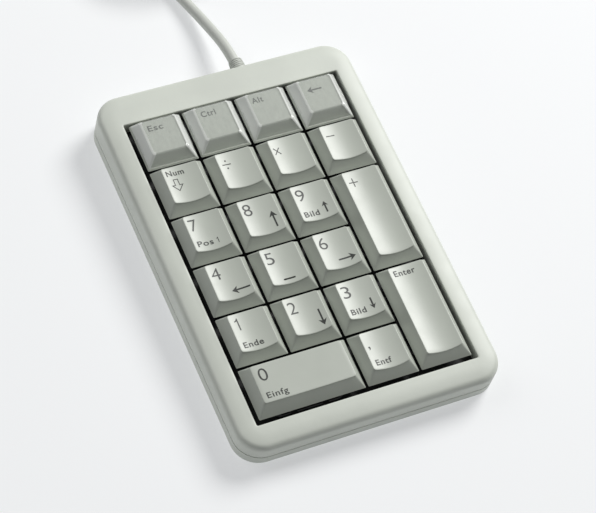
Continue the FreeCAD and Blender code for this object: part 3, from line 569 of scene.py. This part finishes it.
def make_clips(name, cap):
    """The two lips that grip the cap's foot, half-way along its sides."""
    bm = bmesh.new()
    for side in (-1, 1):
        rings = []
        for height, shrink in ((CLIP_FOOT, CLIP_TAPER), (CLIP_FOOT + CLIP_BEVEL, 0.0),
                               (CLIP_TOP - CLIP_BEVEL, 0.0), (CLIP_TOP, CLIP_TAPER)):
            wall = cap.half_x - SIDE_TAPER * height / CAP_HEIGHT
            near, far = side * (wall - CLIP_GRIP), side * (wall + CLIP_THICK)
            half = CLIP_HALF - shrink
            rings.append([(near, -half, height), (far, CLIP_ROUND - half, height),
                          (far, half - CLIP_ROUND, height), (near, half, height)])
        loft_into(bm, rings)
    clips = finished(f"cover_clips_{name}", bm, clear_plastic, at_key(name), 30)
    stands_for(clips, f"{name}_key", "clear_plastic")


# ---------------------------------------------------------------- legends

INK_THICK, INK_LIFT, INK_STEP = 0.01, 0.03, 0.6
# an arrow's shaft, the notch of its head, and the length and spread of small and large heads
SHAFT_HALF, HEAD_NOTCH, SMALL_ARROW = 0.27, 0.78, 5.0
SMALL_HEAD, LARGE_HEAD = (1.7, 1.05), (2.1, 1.35)


def draped(mesh, name, height):
    """Cuts a flat legend into strips and bends it onto a key's top."""
    bm = bmesh.new()
    bm.from_mesh(mesh)
    low = min(vertex.co.x for vertex in bm.verts)
    high = max(vertex.co.x for vertex in bm.verts)
    for number in range(1, int((high - low) / INK_STEP) + 1):
        bmesh.ops.bisect_plane(bm, geom=bm.verts[:] + bm.edges[:] + bm.faces[:],
                               plane_co=(low + number * INK_STEP, 0, 0), plane_no=(1, 0, 0))
    for vertex in bm.verts:
        x, y, z = vertex.co
        vertex.co = (x, y, height(x, y) + INK_LIFT + z)
    bm.to_mesh(mesh)
    bm.free()
    mesh.transform(at_key(name))


def legend_piece(label, name, mesh, ink, height):
    draped(mesh, name, height)
    mesh.materials.clear()
    mesh.materials.append(ink)
    piece = bpy.data.objects.new(label, mesh)
    bpy.context.scene.collection.objects.link(piece)
    stands_for(piece, f"{name}_key", "paper" if name in COVERED else "keycap_plastic")


def lettering(text, cap_height, width=None, weight=0.0, spacing=1.0):
    """A thin closed mesh of some text, its lower left corner at the origin."""
    curve = bpy.data.curves.new("lettering", "FONT")
    holder = bpy.data.objects.new("lettering", curve)
    bpy.context.scene.collection.objects.link(holder)
    curve.size, curve.resolution_u, curve.space_character = 1.0, 6, spacing
    curve.body = "H"
    bpy.context.view_layer.update()
    scale = cap_height / holder.dimensions.y
    curve.body = text
    curve.offset, curve.extrude = weight / scale, INK_THICK / scale
    bpy.context.view_layer.update()
    mesh = bpy.data.meshes.new_from_object(holder.evaluated_get(
        bpy.context.evaluated_depsgraph_get()))
    bpy.data.objects.remove(holder)
    bpy.data.curves.remove(curve)
    left = min(vertex.co.x for vertex in mesh.vertices)
    right = max(vertex.co.x for vertex in mesh.vertices)
    stretch = width / (right - left) if width else scale
    mesh.transform(Matrix.Diagonal((stretch, scale, scale, 1))
                   @ Matrix.Translation((-left, 0, 0)))
    return mesh


def flat_shape(outline, holes=()):
    """A thin closed mesh from an outline, with an optional hole of as many points."""
    bm = bmesh.new()
    loops = [[[bm.verts.new((x, y, z)) for x, y in points] for points in (outline, *holes)]
             for z in (-INK_THICK, INK_THICK)]
    for low, high in zip(*loops):
        for i in range(len(low)):
            j = (i + 1) % len(low)
            bm.faces.new((low[i], low[j], high[j], high[i]))
    for level in loops:
        if not holes:
            bm.faces.new(level[0])
            continue
        outer, inner = level
        for i in range(len(outer)):
            j = (i + 1) % len(outer)
            bm.faces.new((outer[i], outer[j], inner[j], inner[i]))
    bmesh.ops.triangulate(bm, faces=[f for f in bm.faces if len(f.verts) > 4])
    bmesh.ops.recalc_face_normals(bm, faces=bm.faces)
    mesh = bpy.data.meshes.new("mark")
    bm.to_mesh(mesh)
    bm.free()
    return mesh


def arrow(length, degrees):
    """An arrow with a barbed head, centred on the origin."""
    barb, spread = SMALL_HEAD if length < SMALL_ARROW else LARGE_HEAD
    tip, tail = length / 2, -length / 2
    notch = tip - barb * HEAD_NOTCH
    outline = [(tip, 0), (tip - barb, spread), (notch, SHAFT_HALF), (tail, SHAFT_HALF),
               (tail, -SHAFT_HALF), (notch, -SHAFT_HALF), (tip - barb, -spread)]
    mesh = flat_shape(outline)
    mesh.transform(Matrix.Rotation(math.radians(degrees), 4, "Z"))
    return mesh


def hollow_arrow():
    """The outlined block arrow that points down on the Num key, its top at the origin."""
    outer = [(-0.87, 0), (-0.87, -2.2), (-2.1, -2.2), (0, -4.7), (2.1, -2.2), (0.87, -2.2),
             (0.87, 0)]
    inner = [(-0.6, -0.27), (-0.6, -2.47), (-1.5, -2.47), (0, -4.26), (1.5, -2.47),
             (0.6, -2.47), (0.6, -0.27)]
    return flat_shape(outer, [inner])


def marks(*shapes):
    """Flat outlines joined in one mesh."""
    bm = bmesh.new()
    for shape in shapes:
        bm.from_mesh(shape)
    mesh = bpy.data.meshes.new("marks")
    bm.to_mesh(mesh)
    bm.free()
    return mesh


def bar(width, degrees=0.0):
    mesh = flat_shape([(-width / 2, -STROKE / 2), (width / 2, -STROKE / 2),
                       (width / 2, STROKE / 2), (-width / 2, STROKE / 2)])
    mesh.transform(Matrix.Rotation(math.radians(degrees), 4, "Z"))
    return mesh


def dot(radius, x, y):
    points = [(x + radius * math.cos(math.radians(15 * step)),
               y + radius * math.sin(math.radians(15 * step))) for step in range(24)]
    return flat_shape(points)


DIGIT, DIGIT_LEFT, DIGIT_FOOT, DIGIT_WEIGHT = 4.3, -5.2, 1.75, -0.03
WORD, WORD_FOOT, WORD_WEIGHT, WORD_SPACING = 1.95, -4.45, 0.05, 1.12
ZERO_LEFT, ZERO_WORD_WEIGHT = -14.2, 0.03
# a 1: its height, and the left edge and foot of the large one and the small one
ONE_HIGH, LARGE_ONE, SMALL_ONE = 4.3, (-4.6, DIGIT_FOOT), (1.75, -4.2)
STROKE, SIGN_WIDTH, CROSS_WIDTH = 0.36, 3.1, 3.3
HOLLOW_ARROW_PLACE, COMMA_HIGH, COMMA_WIDE, COMMA_WEIGHT = (-2.85, 3.0), 3.6, 0.75, 0.03
COMMA_PLACE = (-5.0, 1.9)
# digit: width
DIGITS = {"7": 2.7, "8": 3.0, "9": 3.0, "4": 3.1, "5": 2.9, "6": 2.95, "2": 2.85,
          "3": 2.9, "0": 3.0}
# text, left edge, baseline, width and cap height
WORDS = {"7": ("Pos", -5.1, -4.2, 5.5, WORD), "9": ("Bild", -5.2, WORD_FOOT, 5.4, WORD),
         "1": ("Ende", -4.9, -4.65, 6.9, WORD), "3": ("Bild", -5.1, WORD_FOOT, 5.4, WORD),
         "comma": ("Entf", -4.8, WORD_FOOT, 5.6, WORD),
         "0": ("Einfg", -14.3, -4.3, 7.3, WORD), "num": ("Num", -5.2, 4.35, 6.2, WORD),
         "enter": ("Enter", -4.9, 13.7, 7.6, 2.05), "esc": ("Esc", -4.5, 3.4, 5.3, 2.1),
         "ctrl": ("Ctrl", -4.4, 3.55, 5.2, 2.1), "alt": ("Alt", -4.9, 3.7, 4.1, 2.1)}
# centre, length and direction
ARROWS = {"8": (3.8, -1.5, 5.9, 90), "4": (2.35, -3.2, 6.2, 180), "6": (2.15, -3.1, 6.0, 0),
          "2": (4.15, -1.7, 5.9, -90), "9": (2.95, -2.2, 4.1, 90), "3": (3.1, -2.05, 4.0, -90),
          "back": (-1.4, 3.1, 5.4, 180)}
SIGNS = {"divide": (-3.45, 3.2), "multiply": (-4.25, 3.0), "minus": (-3.55, 3.4),
         "plus": (-3.4, 12.9)}


def numeral_one(high):
    """A 1 of a plain stem and a flag, drawn apart from the other lettering."""
    stem = [(0.84, 0), (1.26, 0), (1.26, ONE_HIGH), (0.84, ONE_HIGH)]
    flag = [(0, 3.1), (0.86, 3.3), (0.86, 4.1), (0.6, 3.72), (0, 3.42)]
    mesh = marks(flat_shape(stem), flat_shape(flag))
    mesh.transform(Matrix.Diagonal((high / ONE_HIGH, high / ONE_HIGH, 1, 1)))
    return mesh


def symbol(name):
    if name == "divide":
        return marks(bar(SIGN_WIDTH), dot(0.32, 0, 1.4), dot(0.32, 0, -1.45))
    if name == "multiply":
        return marks(bar(CROSS_WIDTH, 50), bar(CROSS_WIDTH, -50))
    if name == "minus":
        return marks(bar(SIGN_WIDTH))
    return marks(bar(CROSS_WIDTH), bar(CROSS_WIDTH, 90))


def make_legends(name):
    cap = Cap(name)
    on_paper = CAP_HEIGHT - COVER_ROOF - 0.02
    height = (lambda x, y: on_paper) if name in COVERED else cap.top
    ink = pale_ink if name in COVERED else legend_ink
    weight = ZERO_WORD_WEIGHT if name == "0" else WORD_WEIGHT

    def put(label, mesh, x, y):
        mesh.transform(Matrix.Translation((x, y, 0)))
        legend_piece(f"legend_{name}_{label}", name, mesh, ink, height)

    if name == "1":
        put("digit", numeral_one(DIGIT), *LARGE_ONE)
    elif name in DIGITS:
        left = ZERO_LEFT if name == "0" else DIGIT_LEFT
        put("digit", lettering(name, DIGIT, DIGITS[name], DIGIT_WEIGHT), left, DIGIT_FOOT)
    if name == "7":
        put("one", numeral_one(WORD), *SMALL_ONE)
    if name in WORDS:
        text, x, y, width, high = WORDS[name]
        put("word", lettering(text, high, width, weight, WORD_SPACING), x, y)
    if name in ARROWS:
        x, y, length, degrees = ARROWS[name]
        put("arrow", arrow(length, degrees), x, y)
    if name in SIGNS:
        put("sign", symbol(name), *SIGNS[name])
    if name == "num":
        put("arrow", hollow_arrow(), *HOLLOW_ARROW_PLACE)
    if name == "comma":
        put("sign", lettering(",", COMMA_HIGH, COMMA_WIDE, COMMA_WEIGHT), *COMMA_PLACE)


# ---------------------------------------------------------------- case

CASE_HALF, CASE_FRONT, CASE_BACK, CASE_CORNER = 46.4, -66.7, 69.7, 9.0
CASE_TOP, CASE_WALL, ROOF_UNDER = 0.6, 2.1, -1.4
OPENING_HALF, OPENING_FRONT, OPENING_BACK = 39.2, -58.3, 57.6
SKIRT_WALL, SKIRT_FOOT = 1.6, -4.6
SEAM_LEVEL, SEAM_INSET, SEAM_BEVEL = 4.4, 0.35, 0.3
WALL_TOP, WALL_MIDDLE = -2.4, -4.2
BEND, BEND_STEPS, RIM, RIM_STEPS = 2.3, 9, 6.2, 6
RIM_DROP, RIM_LEAN = 0.46, math.radians(12)
OPENING_CORNER, OPENING_LAND, OPENING_ROUND, OPENING_STEPS = 0.5, 0.9, 0.3, 3
INNER_CHAMFER, SKIRT_LIFT, OUTLET_GAP = 0.6, 0.05, 0.05


def on_level(level):
    """The height in the key frame, at each x and y, of a level height above the desk."""
    def height(x, y):
        return (level - KEY_LEVEL - y * math.sin(TILT)) / math.cos(TILT)
    return height


def case_ring(inset, height):
    corner = max(CASE_CORNER - inset, 1.0)
    return lifted(rounded_ring(-CASE_HALF + inset, CASE_HALF - inset, CASE_FRONT + inset,
                               CASE_BACK - inset, corner, 14, 12), height)


def opening_ring(outset, height):
    corner = OPENING_CORNER + outset
    return lifted(rounded_ring(-OPENING_HALF - outset, OPENING_HALF + outset,
                               OPENING_FRONT - outset, OPENING_BACK + outset,
                               corner, 14, 12), height)


def make_top_case():
    """Walls with a small bevel at the seam, a bent edge, a gently sloping rim and a skirt."""
    rings = [case_ring(SEAM_INSET, on_level(SEAM_LEVEL)),
             case_ring(SEAM_BEVEL, on_level(SEAM_LEVEL + 0.1)),
             case_ring(0.0, on_level(SEAM_LEVEL + SEAM_INSET)), case_ring(0.0, WALL_MIDDLE),
             case_ring(0.0, WALL_TOP)]
    start = CASE_TOP - RIM_DROP - BEND * math.cos(RIM_LEAN)
    for step in range(BEND_STEPS + 1):
        angle = (math.pi / 2 - RIM_LEAN) * step / BEND_STEPS
        rings.append(case_ring(BEND * (1 - math.cos(angle)), start + BEND * math.sin(angle)))
    bent = BEND * (1 - math.sin(RIM_LEAN))
    for step in range(1, RIM_STEPS + 1):
        share = step / RIM_STEPS
        rings.append(case_ring(bent + (RIM - bent) * share,
                               CASE_TOP - RIM_DROP * (1 - share) ** 2))
    rings.append(opening_ring(OPENING_LAND, CASE_TOP))
    rings.append(opening_ring(OPENING_ROUND, CASE_TOP))
    for step in range(1, OPENING_STEPS + 1):
        angle = math.radians(90 / OPENING_STEPS * step)
        rings.append(opening_ring(OPENING_ROUND * (1 - math.sin(angle)),
                                  CASE_TOP - OPENING_ROUND * (1 - math.cos(angle))))
    rings += [opening_ring(0.0, CASE_TOP - 1.2), opening_ring(0.0, SKIRT_FOOT + SKIRT_LIFT),
              opening_ring(SKIRT_WALL, SKIRT_FOOT + SKIRT_LIFT),
              opening_ring(SKIRT_WALL, ROOF_UNDER),
              case_ring(CASE_WALL + INNER_CHAMFER, ROOF_UNDER),
              case_ring(CASE_WALL, ROOF_UNDER - INNER_CHAMFER),
              case_ring(CASE_WALL, on_level(SEAM_LEVEL))]
    top = loft("top_case_shell", rings, case_plastic, closed=True, sharp=40)
    bored(top, BOOT_NECK + OUTLET_GAP, (CASE_BACK - 5, CASE_BACK + 3))
    stands_for(top, "case", "case_plastic", "top_case")


# ---------------------------------------------------------------- cable boot, plug and feet

CORD_SIDE, CORD_AXIS = 9.0, -5.0
BOOT_FLANGE, BOOT_NECK, BOOT_SLEEVE, BOOT_END, BOOT_LENGTH = 3.4, 2.5, 2.9, 2.35, 4.6
BOOT_RIBS, RIB_DEPTH, RIB_FILL, FLANGE_THICK, BOOT_BEVEL = 5, 0.22, 0.98, 1.4, 0.12
BOOT_STEPS = 40
CORD_RADIUS, CORD_GAP = 1.9, 0.03


def boot_place(a, b, along):
    return (CORD_SIDE + a, along, CORD_AXIS + b)


def bored(piece, radius, span):
    """Cuts the cable's round outlet through the case's back wall."""
    rings = lathe_rings([(radius, along) for along in span], boot_place, 48)
    cutter = loft("outlet_cutter", rings, case_plastic)
    cutting = piece.modifiers.new("outlet", "BOOLEAN")
    cutting.operation, cutting.object, cutting.solver = "DIFFERENCE", cutter, "EXACT"
    bpy.context.view_layer.update()
    mesh = bpy.data.meshes.new_from_object(piece.evaluated_get(
        bpy.context.evaluated_depsgraph_get()))
    piece.modifiers.clear()
    piece.data = mesh
    bpy.data.objects.remove(cutter)


def make_boot():
    """The strain relief: a flange inside the wall and a tapering sleeve with five ribs."""
    bore = CORD_RADIUS + CORD_GAP
    inside = CASE_BACK - CASE_WALL - FLANGE_THICK
    profile = [(bore, inside), (BOOT_FLANGE - 0.15, inside), (BOOT_FLANGE, inside + 0.15),
               (BOOT_FLANGE, CASE_BACK - CASE_WALL), (BOOT_NECK, CASE_BACK - CASE_WALL),
               (BOOT_NECK, CASE_BACK), (BOOT_SLEEVE - BOOT_BEVEL, CASE_BACK),
               (BOOT_SLEEVE, CASE_BACK + BOOT_BEVEL), (BOOT_SLEEVE, CASE_BACK + 0.6)]
    start, end = CASE_BACK + 0.75, CASE_BACK + BOOT_LENGTH - 0.1
    for number in range(BOOT_RIBS):
        for share, drop in ((0.0, RIB_DEPTH), (0.3, RIB_DEPTH), (0.4, 0.0), (0.9, 0.0),
                            (1.0, RIB_DEPTH)):
            along = start + (end - start) * (number + share * RIB_FILL) / BOOT_RIBS
            taper = (BOOT_SLEEVE - BOOT_END) * (along - CASE_BACK) / BOOT_LENGTH
            profile.append((BOOT_SLEEVE - taper - drop, along))
    profile += [(BOOT_END - 0.3, end + 0.1), (bore, end + 0.1)]
    boot = loft("cable_boot_ribbed", lathe_rings(profile, boot_place, BOOT_STEPS), jacket,
                closed=True, sharp=50)
    stands_for(boot, "case", "cord_jacket", "cable_boot")
    return boot


PLUG_SIDE, PLUG_BACK, PLUG_LENGTH = -27.0, 158.0, 23.0
PLUG_HALF, PLUG_THICK = 7.8, 8.0
COLLAR_RIBS, COLLAR_START, COLLAR_PITCH, COLLAR_GROWTH = 3, 0.7, 1.5, 0.3
GROOVES, GROOVE_START, GROOVE_PITCH, GROOVE_DEPTH = 4, 11.2, 1.7, 0.3


def make_plug_grip():
    """The moulded grip: a collar that swells out of the cord, and finger grooves."""
    level = PLUG_THICK / 2
    rings = []

    def ring(half, thick, y, corner):
        outline = rounded_ring(-half, half, -thick, thick, corner, 6, 6)
        rings.append([(PLUG_SIDE + x, PLUG_BACK + y, level + z) for x, z in outline])

    ring(0.9, 0.9, 0.0, 0.88)
    ring(2.6, 2.6, 0.0, 2.55)
    ring(2.75, 2.7, 0.2, 2.6)
    for number in range(COLLAR_RIBS):
        y = COLLAR_START + number * COLLAR_PITCH
        grow = number * COLLAR_GROWTH
        ring(2.8 + grow, 2.75 + grow * 0.6, y, 2.4)
        ring(2.45 + grow, 2.4 + grow * 0.6, y + 0.15, 2.2)
        ring(2.45 + grow, 2.4 + grow * 0.6, y + 0.6, 2.2)
        ring(2.9 + grow, 2.85 + grow * 0.6, y + 0.75, 2.4)
    for share in (0.0, 0.25, 0.5, 0.75, 1.0):
        swell = math.sin(math.pi / 2 * share)
        ring(4.2 + (PLUG_HALF - 4.25) * swell, 3.4 + 0.55 * swell, 5.4 + 3.6 * share, 2.6)
    for number in range(GROOVES):
        y = GROOVE_START + number * GROOVE_PITCH
        ring(PLUG_HALF, level, y, 2.4)
        ring(PLUG_HALF - GROOVE_DEPTH, level - GROOVE_DEPTH, y + 0.2, 2.2)
        ring(PLUG_HALF - GROOVE_DEPTH, level - GROOVE_DEPTH, y + 0.8, 2.2)
        ring(PLUG_HALF, level, y + 1.0, 2.4)
    ring(PLUG_HALF, level, PLUG_LENGTH - 0.6, 2.4)
    ring(PLUG_HALF - 0.15, level - 0.15, PLUG_LENGTH - 0.15, 2.4)
    ring(PLUG_HALF - 0.6, level - 0.6, PLUG_LENGTH, 2.1)
    grip = loft("plug_grip", rings, plug_grip, ON_DESK, sharp=50)
    stands_for(grip, "case", "plug_grip", "usb_plug_body")
    return grip


FOOT_RADIUS, FOOT_SIDE, FOOT_HIGH = 4.75, 36.0, 0.8
FOOT_PLACES = (49.0, -51.0)
FOOT_CENTRE, FOOT_STEPS = 0.6, 36


def make_feet():
    """Four dished rubber discs under the corners."""
    profile = [(FOOT_CENTRE, 0.12), (FOOT_RADIUS - 1.6, 0.1), (FOOT_RADIUS - 1.3, 0.0),
               (FOOT_RADIUS - 0.35, 0.0), (FOOT_RADIUS - 0.1, 0.08), (FOOT_RADIUS, 0.3),
               (FOOT_RADIUS, FOOT_HIGH), (FOOT_CENTRE, FOOT_HIGH)]
    bm = bmesh.new()
    for side in (-FOOT_SIDE, FOOT_SIDE):
        for back in FOOT_PLACES:
            loft_into(bm, lathe_rings(profile, lambda a, b, z: (side + a, back + b, z),
                                      FOOT_STEPS))
    feet = finished("foot_pads", bm, foot_rubber, ON_DESK, 40)
    stands_for(feet, "case", "foot_rubber", "rubber_feet")


def refinish():
    """Gives each CAD part that stays in view the material of its slot."""
    for part in frame["nodes"].values():
        if part.hide_render:
            continue
        for place in part.material_slots:
            slot = place.material.name.split(".")[0]
            if slot in FINISHES:
                place.material = FINISHES[slot]


# ---------------------------------------------------------------- camera, light and floor

# The camera's place in the key frame and its right, up and back directions there.
CAMERA_PLACE = Vector((-267.25, -320.32, 663.49))
CAMERA_RIGHT = Vector((0.90419, -0.38898, 0.17646))
CAMERA_UP = Vector((0.25955, 0.82846, 0.49627))
CAMERA_LENS, SENSOR_WIDTH = 144.9, 36.0


def make_camera():
    data = bpy.data.cameras.new("camera")
    data.sensor_width, data.lens = SENSOR_WIDTH, CAMERA_LENS
    data.clip_start, data.clip_end = 0.01, 20.0
    camera = bpy.data.objects.new("camera", data)
    bpy.context.scene.collection.objects.link(camera)
    turn = Matrix.Rotation(TILT, 3, "X")
    right, up = (turn @ CAMERA_RIGHT).normalized(), (turn @ CAMERA_UP).normalized()
    back = right.cross(up).normalized()
    up = back.cross(right)
    pose = Matrix((right, up, back)).transposed().to_4x4()
    pose.translation = TO_DESK @ CAMERA_PLACE
    camera.matrix_world = pose
    bpy.context.scene.camera = camera


def area_light(name, place, target, size, power, color=(1, 1, 1)):
    data = bpy.data.lights.new(name, "AREA")
    data.shape, data.size, data.energy, data.color = "DISK", size, power, color
    lamp = bpy.data.objects.new(name, data)
    bpy.context.scene.collection.objects.link(lamp)
    lamp.location = place
    lamp.rotation_euler = (Vector(target) - Vector(place)).to_track_quat("-Z", "Y").to_euler()


def make_light():
    """A large soft source to the right and behind, a softer one to the left and behind."""
    area_light("key_light", (1.10, 0.60, 1.06), (0, 0, 0), 0.8, 27.0, (1.0, 0.998, 0.985))
    area_light("left_light", (-0.90, 0.85, 1.10), (0, 0, 0), 1.3, 6.0, (1.0, 1.0, 1.0))
    world = bpy.data.worlds.new("room")
    world.use_nodes = True
    sky = world.node_tree.nodes["Background"]
    sky.inputs["Color"].default_value = (0.965, 0.98, 1.0, 1)
    sky.inputs["Strength"].default_value = 0.15
    bpy.context.scene.world = world
    bpy.context.scene.view_settings.view_transform = "Standard"


def make_floor():
    bpy.ops.mesh.primitive_plane_add(size=6, location=(0, 0, 0))
    floor = bpy.context.object
    floor.name = "floor"
    paper = material("floor_paper", (0.48, 0.485, 0.49), 0.8, Emission_Strength=0.46,
                     Emission_Color=(0.97, 0.985, 1.0, 1))
    bump(paper, noise(paper, 900.0), 0.00001)
    floor.data.materials.append(paper)


# ---------------------------------------------------------------- cord

CORD_TO_COIL = [
    (9.0, 64.96, 8.43), (9.0, 76.46, 8.67), (7.6, 92.0, 4.4), (3.6, 109.0, 1.9),
    (-2.0, 125.5, 1.9),
]
CORD_TO_PLUG = [
    (4.0, 115.8, 12.5), (-12.0, 120.0, 9.2), (-22.4, 131.0, 5.6),
    (-27.0, 145.5, 4.0), (-27.0, 158.0, 4.0),
]
COIL_CENTRE = (21.0, 142.0)
COIL_RADIUS = 21.0
COIL_TURNS_WIDE, COIL_LAYERS = 3, 4
POINTS_PER_TURN, CLIMB_TURN = 16, 0.25


def coil_points():
    """Turns that run clockwise from the left, in and out layer by layer, to the front."""
    across = 2 * CORD_RADIUS
    outer = COIL_RADIUS + COIL_TURNS_WIDE / 2 * across
    turns = COIL_TURNS_WIDE * COIL_LAYERS - CLIMB_TURN
    points = []
    for step in range(round(turns * POINTS_PER_TURN) + 1):
        turn = step / POINTS_PER_TURN
        layer = min(int(turn / COIL_TURNS_WIDE), COIL_LAYERS - 1)
        within = turn - layer * COIL_TURNS_WIDE
        radius = outer - across * (within if layer % 2 == 0 else COIL_TURNS_WIDE - within)
        climb = max(0.0, within - COIL_TURNS_WIDE + CLIMB_TURN) / CLIMB_TURN
        if layer == COIL_LAYERS - 1:
            climb = 0.0
        angle = math.pi - 2 * math.pi * turn
        points.append((COIL_CENTRE[0] + radius * math.cos(angle),
                       COIL_CENTRE[1] + radius * math.sin(angle),
                       CORD_RADIUS + across * (layer + climb)))
    return points


def make_cord():
    curve = bpy.data.curves.new("usb_cord", "CURVE")
    curve.dimensions = "3D"
    curve.bevel_depth, curve.bevel_resolution = CORD_RADIUS * MM, 6
    curve.resolution_u = 6
    curve.use_fill_caps = True
    route = CORD_TO_COIL + coil_points() + CORD_TO_PLUG
    spline = curve.splines.new("NURBS")
    spline.points.add(len(route) - 1)
    for point, (x, y, z) in zip(spline.points, route):
        point.co = (x * MM, y * MM, z * MM, 1)
    spline.order_u = 3
    spline.use_endpoint_u = True
    curve.materials.append(jacket)
    cord = bpy.data.objects.new("usb_cord", curve)
    bpy.context.scene.collection.objects.link(cord)
    stands_for(cord, "case", "cord_jacket", "usb_cable", "usb_cable_coil")
    return cord


make_camera()
make_light()
make_floor()
cord = make_cord()
boot = make_boot()
grip = make_plug_grip()
make_top_case()
make_feet()
for name in KEYS:
    make_keycap(name)
    if name in COVERED:
        make_cover(name)
    make_legends(name)
refinish()
